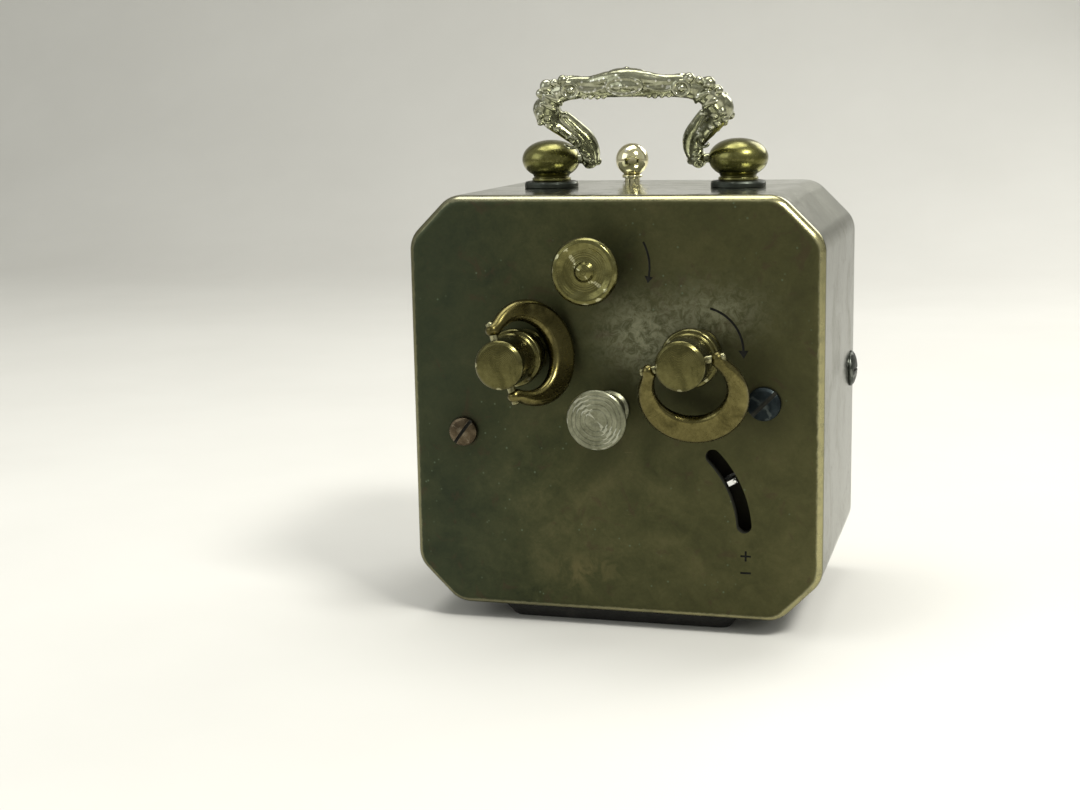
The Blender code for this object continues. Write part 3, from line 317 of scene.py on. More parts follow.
BRASS_DARK = metal("brass_key", (0.058, 0.054, 0.020), (0.105, 0.096, 0.036), (0.17, 0.157, 0.064), rough=(0.16, 0.32), worn=(0.52, 0.50, 0.30), pitch=0.22, ring_bump=0.10)
BRASS_BAIL = metal("brass_bail", (0.060, 0.052, 0.018), (0.110, 0.095, 0.034), (0.18, 0.155, 0.060), rough=(0.18, 0.36), worn=(0.52, 0.48, 0.27), blotch=0.35, wear=0.0, soot=0.0)
BRASS_KNOB = metal("brass_knob", (0.075, 0.070, 0.025), (0.135, 0.125, 0.046), (0.21, 0.20, 0.085), rough=(0.17, 0.32), worn=(0.62, 0.60, 0.38), pitch=0.30, ring_bump=0.16)
BRASS_BALL = metal("brass_ball", (0.090, 0.088, 0.026), (0.165, 0.158, 0.054), (0.27, 0.255, 0.10), rough=(0.16, 0.34), worn=(0.66, 0.62, 0.36), pitch=0.5, ring_bump=0.05)
NICKEL = metal("nickel_knob", (0.12, 0.122, 0.078), (0.215, 0.218, 0.148), (0.32, 0.32, 0.23), rough=(0.28, 0.48), worn=(0.52, 0.52, 0.42), pitch=0.62, ring_bump=0.12, blotch=0.35)
CAST = metal("cast_handle", (0.15, 0.152, 0.092), (0.30, 0.303, 0.205), (0.46, 0.462, 0.35), rough=(0.14, 0.30), worn=(0.88, 0.88, 0.78), wear=0.75, soot=0.92, blotch=0.35,
            point=(0.43, 0.497, 0.512, 0.60), grain=0.10)
BUTTON_BRASS = metal("button_brass", (0.52, 0.47, 0.25), (0.70, 0.65, 0.40), (0.82, 0.78, 0.54), rough=(0.07, 0.16), soot=0.5, grain=0.04)
DARK_STEEL = metal("dark_steel", (0.030, 0.034, 0.029), (0.050, 0.056, 0.047), (0.085, 0.092, 0.078), rough=(0.34, 0.52), worn=(0.24, 0.25, 0.22), pitch=0.25)
BLUED = metal("blued_screw", (0.008, 0.011, 0.012), (0.016, 0.021, 0.023), (0.034, 0.043, 0.045), rough=(0.38, 0.55), worn=(0.20, 0.23, 0.21), wear=0.2)
COPPER = metal("copper_screw", (0.040, 0.030, 0.019), (0.082, 0.062, 0.038), (0.135, 0.105, 0.068), rough=(0.26, 0.44), worn=(0.24, 0.205, 0.145), blotch=0.6)
# near-black: soot in the engraved signs, and painted shade on the walls of the cut holes, the regulator slot and the
# screw slots
SOOT_AND_SHADE = metal("soot_and_recess_shade", (0.008, 0.008, 0.005), (0.014, 0.014, 0.009), (0.024, 0.023, 0.014), rough=(0.6, 0.8), worn=(0.03, 0.03, 0.02), metallic=0.3)
# painted shade: near-black for the movement parts seen inside the case through the slot
INNER_PAINTED_SHADE = metal("inner_painted_shade", (0.006, 0.006, 0.004), (0.010, 0.010, 0.006), (0.020, 0.018, 0.010), rough=(0.55, 0.75), worn=(0.06, 0.055, 0.03), metallic=0.6)
BEZEL = metal("bezel_brass", (0.33, 0.29, 0.125), (0.50, 0.45, 0.215), (0.64, 0.59, 0.32), rough=(0.13, 0.28), worn=(0.85, 0.80, 0.52), pitch=0.18, ring_bump=0.08)
HAND_BLUE = metal("hand_blued", (0.010, 0.013, 0.030), (0.018, 0.026, 0.060), (0.030, 0.045, 0.095), rough=(0.16, 0.3), wear=0.0, soot=0.0)
HAND_BRASS = metal("hand_brass", (0.38, 0.32, 0.12), (0.56, 0.49, 0.22), (0.70, 0.63, 0.34), rough=(0.14, 0.28), wear=0.0, soot=0.0)
MOVE_BRASS = metal("movement_brass", (0.34, 0.29, 0.11), (0.52, 0.45, 0.19), (0.64, 0.57, 0.28), rough=(0.22, 0.4), pitch=0.3)
MOVE_STEEL = metal("movement_steel", (0.22, 0.22, 0.21), (0.38, 0.38, 0.37), (0.52, 0.52, 0.51), rough=(0.18, 0.36))
TIP_STEEL = metal("regulator_bright", (0.55, 0.55, 0.47), (0.75, 0.75, 0.66), (0.88, 0.88, 0.8), rough=(0.10, 0.2))
CASE = case_look()


def felt_look():
    g = Look("base_black")
    v = g.noise(0.8, 6, 0.7)
    cell = g.cells(2.2)
    col = g.ramp(v, (0.3, (0.006, 0.006, 0.005)), (0.7, (0.020, 0.019, 0.016)))
    col = g.mix(g.step(g.noise(0.2, 4), 0.55, 0.8), col, (0.05, 0.046, 0.036))
    n = g.bump(g.math("ADD", cell, v), 0.5, 0.15)
    return g.done(col, g.step(v, 0.2, 0.8, 0.62, 0.85), 0.0, n)


def dial_look():
    g = Look("dial_enamel")
    v = g.noise(0.12, 5, 0.6, 0.8)
    fine = g.noise(2.5, 6, 0.7)
    xyz = g.split(g.p)
    rr = g.math("SQRT", g.math("ADD", g.math("MULTIPLY", xyz[0], xyz[0]), g.math("MULTIPLY", xyz[1], xyz[1])))
    col = g.ramp(v, (0.3, (0.66, 0.60, 0.45)), (0.55, (0.76, 0.71, 0.57)), (0.8, (0.82, 0.78, 0.66)))
    col = g.mix(g.math("MULTIPLY", g.step(rr, 19.5, 24.0), 0.5), col, (0.47, 0.39, 0.24))
    col = g.mix(g.math("MULTIPLY", g.step(g.cells(0.5), 0.12, 0.03), 0.5), col, (0.30, 0.23, 0.13))
    n = g.bump(g.math("ADD", fine, g.math("MULTIPLY", g.rings(0.35), 0.3)), 0.12, 0.04)
    return g.done(col, g.step(fine, 0.3, 0.7, 0.38, 0.52), 0.0, n)


def ink_look():
    g = Look("dial_ink")
    v = g.noise(3.0, 5, 0.7)
    col = g.ramp(v, (0.3, (0.010, 0.009, 0.008)), (0.75, (0.045, 0.040, 0.034)))
    return g.done(col, g.step(v, 0.3, 0.8, 0.35, 0.6), 0.0, g.bump(v, 0.1, 0.03))


def glass_look():
    g = Look("clear_glass")
    v = g.noise(0.3, 4, 0.6)
    smear = g.step(g.noise(0.08, 5, 0.7, 1.2), 0.5, 0.8, 0.0, 0.09)
    b = g.t.nodes.new("ShaderNodeBsdfPrincipled")
    b.inputs["Base Color"].default_value = (0.96, 0.98, 0.97, 1)
    b.inputs["Roughness"].default_value = 0.02
    g.put(b.inputs["Roughness"], g.math("ADD", smear, 0.01))
    b.inputs["IOR"].default_value = 1.5
    b.inputs["Transmission Weight"].default_value = 1.0
    g.put(b.inputs["Normal"], g.bump(v, 0.02, 0.05))
    clear = g.t.nodes.new("ShaderNodeBsdfTransparent")
    path = g.t.nodes.new("ShaderNodeLightPath")
    m = g.t.nodes.new("ShaderNodeMixShader")
    o = g.t.nodes.new("ShaderNodeOutputMaterial")
    f = g.math("MAXIMUM", path.outputs["Is Shadow Ray"], path.outputs["Is Diffuse Ray"])
    g.t.links.new(f, m.inputs[0])
    g.t.links.new(b.outputs[0], m.inputs[1])
    g.t.links.new(clear.outputs[0], m.inputs[2])
    g.t.links.new(m.outputs[0], o.inputs[0])
    return g.m


FELT, DIAL, INK, GLASS = felt_look(), dial_look(), ink_look(), glass_look()


# ================================================================ mesh tools
def shade(obj, sharp=32.0, weighted=True):
    me = obj.data
    me.polygons.foreach_set("use_smooth", [True] * len(me.polygons))
    me.set_sharp_from_angle(angle=math.radians(sharp))
    if weighted:
        w = obj.modifiers.new("even_normals", "WEIGHTED_NORMAL")
        w.keep_sharp = True
        w.weight = 80
    return obj


def mesh(name, verts, faces, mat, matrix=None, weld=0.0, clean=True):
    me = bpy.data.meshes.new(name)
    me.from_pydata([tuple(float(c) * MM for c in v) for v in verts], [], faces)
    bm = bmesh.new()
    bm.from_mesh(me)
    if weld:
        bmesh.ops.remove_doubles(bm, verts=bm.verts, dist=weld * MM)
    if clean:
        bmesh.ops.recalc_face_normals(bm, faces=bm.faces)
    bm.to_mesh(me)
    bm.free()
    me.materials.append(mat)
    obj = bpy.data.objects.new(name, me)
    bpy.context.scene.collection.objects.link(obj)
    if matrix is not None:
        obj.matrix_world = matrix
    return obj


def applied(obj):
    """Bake the piece's modifiers into its own mesh."""
    bpy.context.view_layer.update()
    me = bpy.data.meshes.new_from_object(obj.evaluated_get(bpy.context.evaluated_depsgraph_get()))
    old = obj.data
    obj.modifiers.clear()
    obj.data = me
    bpy.data.meshes.remove(old)
    return obj


def carve(obj, *tools, op="DIFFERENCE", transfer=False):
    for t in tools:
        m = obj.modifiers.new("carve", "BOOLEAN")
        m.operation = op
        if transfer:
            m.material_mode = "TRANSFER"
        m.solver = "EXACT"
        m.object = t
    applied(obj)
    for t in tools:
        bpy.data.objects.remove(t, do_unlink=True)
    return obj


AIM = {
    "Z": Matrix.Identity(4),
    "Y": Matrix.Rotation(math.radians(-90), 4, "X"),
    "X": Matrix.Rotation(math.radians(90), 4, "Y"),
    "-X": Matrix.Rotation(math.radians(-90), 4, "Y"),
}


def place(at=(0, 0, 0), axis="Z"):
    m = AIM[axis].copy()
    m.translation = Vector(at) * MM
    return m


def fillet(pts, closed=False, default=0.15, n=4):
    """Round the corners of a profile; a point may carry its own radius."""
    out = []
    count = len(pts)
    for i, p in enumerate(pts):
        r = p[2] if len(p) > 2 else default
        if r <= 0 or (not closed and i in (0, count - 1)):
            out.append((p[0], p[1]))
            continue
        a, b, c = Vector(pts[i - 1][:2]), Vector(p[:2]), Vector(pts[(i + 1) % count][:2])
        u, w = a - b, c - b
        lu, lw = u.length, w.length
        if lu < 1e-6 or lw < 1e-6:
            continue
        u, w = u / lu, w / lw
        half = math.acos(max(-1, min(1, u.dot(w)))) / 2
        if half > math.radians(86):
            out.append((p[0], p[1]))
            continue
        t = min(r / math.tan(half), lu * 0.48, lw * 0.48)
        r = t * math.tan(half)
        centre = b + (u + w).normalized() * (r / math.sin(half))
        s, e = b + u * t - centre, b + w * t - centre
        a0 = math.atan2(s.y, s.x)
        da = (math.atan2(e.y, e.x) - a0 + math.pi) % TAU - math.pi
        for k in range(n + 1):
            q = a0 + da * k / n
            out.append((centre.x + r * math.cos(q), centre.y + r * math.sin(q)))
    return out


def lathe(name, profile, mat, at=(0, 0, 0), axis="Y", seg=96, ring=False, default=0.15, n=4, sharp=32.0):
    """A turned piece about its own Z: (radius, height) points from the top down the outside."""
    prof = fillet(profile, ring, default, n)
    if not ring:
        prof = [(max(r, 0.0), h) for r, h in prof]
    verts, rows = [], []
    for r, h in prof:
        if r < 1e-6:
            rows.append([len(verts)])
            verts.append((0, 0, h))
        else:
            rows.append(list(range(len(verts), len(verts) + seg)))
            verts += [(r * math.cos(TAU * k / seg), r * math.sin(TAU * k / seg), h) for k in range(seg)]
    faces = []
    pairs = list(zip(rows, rows[1:])) + ([(rows[-1], rows[0])] if ring else [])
    for a, b in pairs:
        for k in range(seg):
            q = (k + 1) % seg
            if len(a) == 1 and len(b) == 1:
                break
            if len(a) == 1:
                faces.append((a[0], b[k], b[q]))
            elif len(b) == 1:
                faces.append((a[k], b[0], a[q]))
            else:
                faces.append((a[k], b[k], b[q], a[q]))
    return shade(mesh(name, verts, faces, mat, place(at, axis)), sharp)


def arc(cx, cz, r, a0, a1, n):
    return [(cx + r * math.cos(math.radians(a0 + (a1 - a0) * k / n)), cz + r * math.sin(math.radians(a0 + (a1 - a0) * k / n))) for k in range(n + 1)]


def resample(pts, step):
    """Even points along a closed outline."""
    p = np.array(pts + [pts[0]], float)
    d = np.hypot(*np.diff(p, axis=0).T)
    s = np.concatenate([[0], np.cumsum(d)])
    m = max(12, int(round(s[-1] / step)))
    t = np.linspace(0, s[-1], m, endpoint=False)
    return np.stack([np.interp(t, s, p[:, 0]), np.interp(t, s, p[:, 1])], 1)


def pad(name, outline, t, mat, matrix=None, edge=0.3, rise=None, n=5, sharp=40.0, weighted=True):
    """A flat piece of thickness t whose edges are rolled over; local XY outline, local Z thickness."""
    p = np.array(outline, float)
    area = 0.5 * np.sum(p[:, 0] * np.roll(p[:, 1], -1) - np.roll(p[:, 0], -1) * p[:, 1])
    if area < 0:
        p = p[::-1]
    tan = np.roll(p, -1, 0) - np.roll(p, 1, 0)
    tan /= np.maximum(np.hypot(tan[:, 0], tan[:, 1]), 1e-9)[:, None]
    inward = np.stack([-tan[:, 1], tan[:, 0]], 1)
    rise = t / 2 if rise is None else rise
    rings = []
    for k in range(n + 1):
        q = math.pi / 2 * k / n
        rings.append((edge * (1 - math.cos(q)), -t / 2 + rise * (1 - math.sin(q))))
    rings = rings[::-1]
    rings += [(d, -h) for d, h in rings[::-1]] if rise < t / 2 - 1e-6 else [(d, -h) for d, h in rings[::-1][1:]]
    verts = []
    for d, h in rings:
        q = p + inward * d
        verts += [(x, y, h) for x, y in q]
    m = len(p)
    faces = [tuple(range(m))]
    for i in range(len(rings) - 1):
        for k in range(m):
            a, b = i * m + k, i * m + (k + 1) % m
            faces.append((a, b, b + m, a + m))
    faces.append(tuple(range(len(verts) - m, len(verts)))[::-1])
    return shade(mesh(name, verts, faces, mat, matrix), sharp, weighted)


def upright(at=(0, 0, 0)):
    """Local X, Y, Z to the row's X, Z and -Y: a flat piece facing the dial side."""
    m = Matrix(((1, 0, 0, 0), (0, 0, -1, 0), (0, 1, 0, 0), (0, 0, 0, 1)))
    m.translation = Vector(at) * MM
    return m


def block(name, outline, y0, y1, at=(0, 0, 0)):
    """A plain prism from y0 to y1, used as a cutting tool."""
    m = len(outline)
    verts = [(x + at[0], y0, z + at[2]) for x, z in outline] + [(x + at[0], y1, z + at[2]) for x, z in outline]
    faces = [tuple(range(m)), tuple(range(m, 2 * m))[::-1]] + [(k, (k + 1) % m, m + (k + 1) % m, m + k) for k in range(m)]
    return mesh(name, verts, faces, INK)


def tube_data(path, radii, sect=14, caps=4):
    """Verts and faces of a closed round tube with domed ends."""
    p = [Vector(q) for q in path]
    full, rad = [], []
    d0 = (p[0] - p[1]).normalized()
    d1 = (p[-1] - p[-2]).normalized()
    for k in range(caps):
        q = math.pi / 2 * (1 - k / caps)
        full.append(p[0] + d0 * radii[0] * math.sin(q))
        rad.append(max(radii[0] * math.cos(q), 1e-3))
    full += p
    rad += list(radii)
    for k in range(caps):
        q = math.pi / 2 * (k + 1) / caps
        full.append(p[-1] + d1 * radii[-1] * math.sin(q))
        rad.append(max(radii[-1] * math.cos(q), 1e-3))
    verts, faces = [], []
    up = Vector((0, 1, 0.01))
    m = len(full)
    for i, c in enumerate(full):
        tan = (full[min(i + 1, m - 1)] - full[max(i - 1, 0)]).normalized()
        up = (up - tan * up.dot(tan)).normalized()
        side = tan.cross(up)
        for k in range(sect):
            a = TAU * k / sect
            v = c + (up * math.cos(a) + side * math.sin(a)) * rad[i]
            verts.append(tuple(v))
    for i in range(m - 1):
        for k in range(sect):
            a, b = i * sect + k, i * sect + (k + 1) % sect
            faces.append((a, b, b + sect, a + sect))
    faces += [tuple(range(sect)), tuple(range((m - 1) * sect, m * sect))[::-1]]
    return verts, faces


def blob_data(c, r, seg=14, rings=9):
    """Verts and faces of an ellipsoid."""
    rx, ry, rz = r if isinstance(r, tuple) else (r, r, r)
    verts = [(c[0], c[1], c[2] + rz)]
    for i in range(1, rings):
        a = math.pi * i / rings
        verts += [(c[0] + rx * math.sin(a) * math.cos(TAU * k / seg), c[1] + ry * math.sin(a) * math.sin(TAU * k / seg), c[2] + rz * math.cos(a)) for k in range(seg)]
    verts.append((c[0], c[1], c[2] - rz))
    faces = [(0, 1 + k, 1 + (k + 1) % seg) for k in range(seg)]
    for i in range(rings - 2):
        for k in range(seg):
            a, b = 1 + i * seg + k, 1 + i * seg + (k + 1) % seg
            faces.append((a, a + seg, b + seg, b))
    last = len(verts) - 1
    faces += [(last, last - seg + (k + 1) % seg, last - seg + k) for k in range(seg)]
    return verts, faces


def smooth_path(pts, per=6):
    """Catmull-Rom through points of any width."""
    p = np.array(pts, float)
    e = np.vstack([2 * p[0] - p[1], p, 2 * p[-1] - p[-2]])
    out = []
    for i in range(len(p) - 1):
        a, b, c, d = e[i:i + 4]
        for k in range(per):
            t = k / per
            out.append(0.5 * ((2 * b) + (c - a) * t + (2 * a - 5 * b + 4 * c - d) * t * t + (3 * b - a - 3 * c + d) * t ** 3))
    out.append(p[-1])
    return np.array(out)


def octagon(d=0.0, r=CORNER, n=8, w=CASE_W, h=CASE_H, c=CHAMFER):
    """Case outline pulled in by d, its corners rounded."""
    hx, hz, cc = w / 2 - d, h / 2 - d, c - 0.586 * d
    raw = [(hx, -hz + cc), (hx, hz - cc), (hx - cc, hz), (-hx + cc, hz), (-hx, hz - cc), (-hx, -hz + cc), (-hx + cc, -hz), (hx - cc, -hz)]
    return [(x, z + ZC) for x, z in fillet([(x, z, max(r - d, 0.15)) for x, z in raw], True, n=n)]


def carry(obj, body, slot, *nodes):
    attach(obj, body)
    if nodes:
        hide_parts(*nodes)
    return obj


# ================================================================ case
def build_case():
    rings = []
    e = 1.5
    for k in range(8):
        q = math.pi / 2 * k / 7
        rings.append((e * (1 - math.sin(q)), BACK - e * (1 - math.cos(q))))
    f = 0.7
    for k in range(6):
        q = math.pi / 2 * k / 5
        rings.append((f * (1 - math.cos(q)), FRONT + f * (1 - math.sin(q))))
    rings += [(WALL - 0.15, FRONT), (WALL, FRONT + 0.15), (WALL, BACK - BACK_T)]
    verts, faces = [], []
    for d, y in rings:
        verts += [(x, y, z) for x, z in octagon(d)]
    m = len(octagon())
    for i in range(len(rings) - 1):
        for k in range(m):
            a, b = i * m + k, i * m + (k + 1) % m
            faces.append((a, b, b + m, a + m))
    faces += [tuple(range(m)), tuple(range((len(rings) - 1) * m, len(rings) * m))[::-1]]
    case = mesh("case_shell", verts, faces, CASE)
    tools = []

    def hole(x, z, r, y0=BACK - BACK_T - 1, y1=BACK + 1):
        tools.append(block("t", arc(0, 0, r, 0, 360, 48)[:-1], y0, y1, (x, 0, z)))

    hole(CENTRE[0], CENTRE[2], 2.6)
    hole(TIME[0], TIME[2], 2.6)
    hole(ALARM[0], ALARM[2], 2.6)
    hole(SET[0], SET[2], 2.4)
    for node in ("movement_screw_copper", "movement_screw_blued"):
        lo, hi = box(node)
        hole((lo.x + hi.x) / 2, (lo.z + hi.z) / 2, 1.25)
    # regulator slot
    r, half, a0, a1 = 15.7, 1.08, 135.7, 175.6
    slot = arc(0, 0, r + half, a0, a1, 30)
    ex, ez = r * math.cos(math.radians(a1)), r * math.sin(math.radians(a1))
    slot += arc(ex, ez, half, a1, a1 + 180, 12)[1:-1]
    slot += arc(0, 0, r - half, a1, a0, 30)
    sx, sz = r * math.cos(math.radians(a0)), r * math.sin(math.radians(a0))
    slot += arc(sx, sz, half, a0 + 180, a0 + 360, 12)[1:-1]
    tools.append(block("t", slot, BACK - BACK_T - 1, BACK + 1, (BAL[0], 0, BAL[2])))
    # engraved signs: a curved arrow by the time key and one by the alarm-set knob, plus and minus by the regulator
    deep = 0.14

    def groove(outline):
        tools.append(block("t", outline, BACK - deep, BACK + 1))
        tools[-1].data.materials[0] = SOOT_AND_SHADE

    def arrow(cx, cz, rr, s, t, w=0.17, head=0.72):
        line = arc(cx, cz, rr + w, s, t, 22) + arc(cx, cz, rr - w, t, s, 22)
        groove(line)
        q, way = math.radians(t), (1 if t > s else -1)
        bx, bz = cx + rr * math.cos(q), cz + rr * math.sin(q)
        tx, tz = -math.sin(q) * way, math.cos(q) * way
        nx, nz = math.cos(q), math.sin(q)
        tip = (bx + tx * head * 1.5, bz + tz * head * 1.5)
        groove([(bx + nx * head - tx * 0.05, bz + nz * head - tz * 0.05), tip, (bx - nx * head - tx * 0.05, bz - nz * head - tz * 0.05)])

    arrow(TIME[0], TIME[2], 6.3, 105, 178)
    arrow(SET[0], SET[2], 7.6, 152, 190, 0.15, 0.62)
    gx, gz = BAL[0] + r * math.cos(math.radians(180.0)) - 0.2, BAL[2] - 3.2
    groove([(gx - 0.75, gz - 0.14), (gx - 0.14, gz - 0.14), (gx - 0.14, gz - 0.75), (gx + 0.14, gz - 0.75), (gx + 0.14, gz - 0.14), (gx + 0.75, gz - 0.14),
            (gx + 0.75, gz + 0.14), (gx + 0.14, gz + 0.14), (gx + 0.14, gz + 0.75), (gx - 0.14, gz + 0.75), (gx - 0.14, gz + 0.14), (gx - 0.75, gz + 0.14)])
    groove([(gx - 0.75, gz - 2.6), (gx + 0.75, gz - 2.6), (gx + 0.75, gz - 2.3), (gx - 0.75, gz - 2.3)])
    # post holes in the top
    for x in (POST_L, POST_R, BUTTON[0]):
        y = BUTTON[1] if x == BUTTON[0] else 0.0
        c = arc(0, 0, 1.45, 0, 360, 32)[:-1]
        v = [(x + a, y + b, Z1 - 4) for a, b in c] + [(x + a, y + b, Z1 + 1) for a, b in c]
        k = len(c)
        tools.append(mesh("t", v, [tuple(range(k)), tuple(range(k, 2 * k))[::-1]] + [(i, (i + 1) % k, k + (i + 1) % k, k + i) for i in range(k)], INK))
    # the walls of the cut holes and slot take the near-black as painted shade
    for t in tools:
        if t.data.materials[0] is INK:
            t.data.materials[0] = SOOT_AND_SHADE
    carve(case, *tools, transfer=True)
    carry(shade(case, 28), "case", "patinated_brass", "case_body")


build_case()

# base pad
lo, hi = box("base_plate")


def build_base():
    hx, hy, h = (hi.x - lo.x) / 2, (hi.y - lo.y) / 2, hi.z - lo.z
    rows = [(2.1, 0.0), (1.75, 0.0), (1.5, 0.25), (1.35, 0.5), (0.35, h - 0.35), (0.1, h - 0.08), (0.0, h)]
    verts, faces = [], []
    for d, z in rows:
        ring = fillet([(hx - d, -hy + d, 1.6), (hx - d, hy - d, 1.6), (-hx + d, hy - d, 1.6), (-hx + d, -hy + d, 1.6)], True, n=6)
        verts += [(x, y, lo.z + z) for x, y in ring]
        m = len(ring)
    for i in range(len(rows) - 1):
        for k in range(m):
            a, b = i * m + k, i * m + (k + 1) % m
            faces.append((a, b, b + m, a + m))
    faces += [tuple(range(m)), tuple(range((len(rows) - 1) * m, len(rows) * m))[::-1]]
    carry(shade(mesh("base_pad", verts, faces, FELT), 30), "case", "black_felt", "base_plate")


build_base()


# ================================================================ front: bezel, glass, dial
def build_front():
    blo, bhi = box("front_bezel")
    y0 = blo.y
    outer = resample(octagon(WALL + 0.08, n=6), 0.9)
    m = len(outer)
    rows = [(0.0, bhi.y), (0.0, y0 + 0.4), (0.12, y0 + 0.12), (0.4, y0), (2.2, y0), (2.35, y0 + 0.14), (2.6, y0 + 0.14), (2.75, y0)]
    verts, faces = [], []
    for d, y in rows:
        ring = resample(octagon(WALL + 0.08 + d, n=6), 0.9)
        t = np.linspace(0, 1, len(ring), endpoint=False)
        u = np.linspace(0, 1, m, endpoint=False)
        rx = np.interp(u, np.append(t, 1), np.append(ring[:, 0], ring[0, 0]))
        rz = np.interp(u, np.append(t, 1), np.append(ring[:, 1], ring[0, 1]))
        verts += [(x, y, z) for x, z in zip(rx, rz)]
    # round opening with the same number of points
    ang = np.unwrap([math.atan2(z - ZC, x) for x, y, z in verts[-m:]])
    for r, y in ((22.9, y0), (22.9, bhi.y)):
        verts += [(r * math.cos(a), y, ZC + r * math.sin(a)) for a in ang]
    k = len(rows) + 2
    for i in range(k):
        j = (i + 1) % k
        for q in range(m):
            s = (q + 1) % m
            faces.append((i * m + q, i * m + s, j * m + s, j * m + q))
    plate = mesh("bezel_plate", verts, faces, BEZEL)
    cut_top = []
    for x, y, r in ((BUTTON[0], BUTTON[1], 2.0),):
        c = arc(0, 0, r, 0, 360, 32)[:-1]
        v = [(x + a, y + b, Z1 - 8) for a, b in c] + [(x + a, y + b, Z1 + 1) for a, b in c]
        n = len(c)
        cut_top.append(mesh("t", v, [tuple(range(n)), tuple(range(n, 2 * n))[::-1]] + [(i, (i + 1) % n, n + (i + 1) % n, n + i) for i in range(n)], INK))
    carve(plate, *cut_top)
    carry(shade(plate, 30), "case", "turned_brass", "front_bezel")
    # turned ring that holds the glass
    up = -y0
    prof = [(22.3, up - 0.85, 0.1), (22.3, up + 0.10, 0.2), (22.95, up + 0.55, 0.25), (23.4, up + 0.30, 0.12), (23.75, up + 0.30, 0.12), (24.1, up + 0.95, 0.35), (25.2, up + 1.00, 0.45),
            (25.7, up + 0.35, 0.2), (26.2, up + 0.22, 0.1), (26.3, up - 0.05, 0.05), (24.3, up - 0.05, 0.05), (24.25, up - 0.85, 0.1)]
    ring = lathe("bezel_ring", prof, BEZEL, (0, 0, ZC), "Y", 160, ring=True)
    ring.matrix_world = place((0, 0, ZC), "Y") @ Matrix.Rotation(math.pi, 4, "X")
    carry(ring, "case", "turned_brass")
    # beads in the ring's groove
    verts, faces = [], []
    for k in range(132):
        a = TAU * k / 132
        v, f = blob_data((23.58 * math.cos(a), y0 - 0.42, ZC + 23.58 * math.sin(a)), 0.33, 8, 6)
        faces += [tuple(i + len(verts) for i in q) for q in f]
        verts += v
    carry(shade(mesh("bezel_beads", verts, faces, BEZEL), 60, False), "case", "turned_brass")
    # glass, faintly domed
    glo, ghi = box("glass")
    prof = [(0, 0.45)] + [(r, 0.45 - 0.45 * (r / 23.2) ** 2) for r in (3, 6, 9, 12, 15, 18, 20.5)] + [(23.2, 0.0, 0.1), (23.2, -0.7, 0.1), (0, -0.7)]
    g = lathe("front_glass", prof, GLASS, (0, 0, 0), "Y", 96)
    g.matrix_world = place((0, glo.y + 0.12, ZC), "Y") @ Matrix.Rotation(math.pi, 4, "X")
    carry(g, "case", "glass", "glass")
    # dial
    dlo, dhi = box("dial")
    cz = CENTRE[2]
    prof = [(2.35, 0.0, 0.05), (2.6, 0.16, 0.08), (9.2, 0.16, 0.08), (9.4, 0.0, 0.06), (22.9, 0.0, 0.08), (23.4, 0.14, 0.1), (23.6, -0.1, 0.05), (23.6, -0.6, 0.05), (2.35, -0.6, 0.05)]
    d = lathe("dial_face", prof, DIAL, (0, 0, 0), "Y", 128, ring=True)
    d.matrix_world = place((0, dlo.y, cz), "Y") @ Matrix.Rotation(math.pi, 4, "X")
    carry(d, "case", "dial_card", "dial")
    verts, faces = [], []

    def bar(a, r0, r1, w, t=0.035):
        ca, sa = math.cos(a), math.sin(a)
        base = len(verts)
        for y in (dlo.y + 0.02, dlo.y - t):
            for r, q in ((r0, -w), (r1, -w), (r1, w), (r0, w)):
                verts.append((r * ca - q * sa, y, cz + r * sa + q * ca))
        faces.extend([(base, base + 1, base + 2, base + 3), (base + 7, base + 6, base + 5, base + 4)] +
                     [(base + k, base + (k + 1) % 4, base + 4 + (k + 1) % 4, base + 4 + k) for k in range(4)])

    for k in range(60):
        a = TAU * k / 60
        bar(a, 20.9 if k % 5 else 20.5, 22.1, 0.07 if k % 5 else 0.24)
    for k in range(48):
        bar(TAU * k / 48, 7.4 if k % 4 else 6.9, 8.4, 0.05 if k % 4 else 0.11, 0.2)
    for rr, w, t in ((22.1, 0.07, 0.035), (20.9, 0.05, 0.035), (8.4, 0.05, 0.2)):
        n = 128
        base = len(verts)
        for y in (dlo.y + 0.02, dlo.y - t):
            for s in (-w, w):
                verts += [((rr + s) * math.cos(TAU * k / n), y, cz + (rr + s) * math.sin(TAU * k / n)) for k in range(n)]
        for k in range(n):
            q = (k + 1) % n
            i0, o0, i1, o1 = base, base + n, base + 2 * n, base + 3 * n
            faces += [(i0 + k, i0 + q, o0 + q, o0 + k), (o0 + k, o0 + q, o1 + q, o1 + k), (o1 + k, o1 + q, i1 + q, i1 + k), (i1 + k, i1 + q, i0 + q, i0 + k)]
    carry(mesh("dial_tracks", verts, faces, INK), "case", "dial_card")
    for h in range(1, 13):
        a = math.radians(90 - 30 * h)
        cu = bpy.data.curves.new("numeral", "FONT")
        cu.body = str(h)
        cu.size = 6.2 * MM
        cu.align_x, cu.align_y = "CENTER", "CENTER"
        cu.extrude = 0.03 * MM
        cu.offset = 0.10 * MM
        cu.resolution_u = 6
        tmp = bpy.data.objects.new("numeral_tmp", cu)
        bpy.context.scene.collection.objects.link(tmp)
        bpy.context.view_layer.update()
        me = bpy.data.meshes.new_from_object(tmp.evaluated_get(bpy.context.evaluated_depsgraph_get()))
        bpy.data.objects.remove(tmp, do_unlink=True)
        xs = [v.co.x for v in me.vertices]
        ys = [v.co.y for v in me.vertices]
        me.transform(Matrix.Translation((-(min(xs) + max(xs)) / 2, -(min(ys) + max(ys)) / 2, 0)) )
        me.transform(Matrix.Scale(0.82, 4, (1, 0, 0)))
        me.materials.clear()
        me.materials.append(INK)
        o = bpy.data.objects.new("numeral_%02d" % h, me)
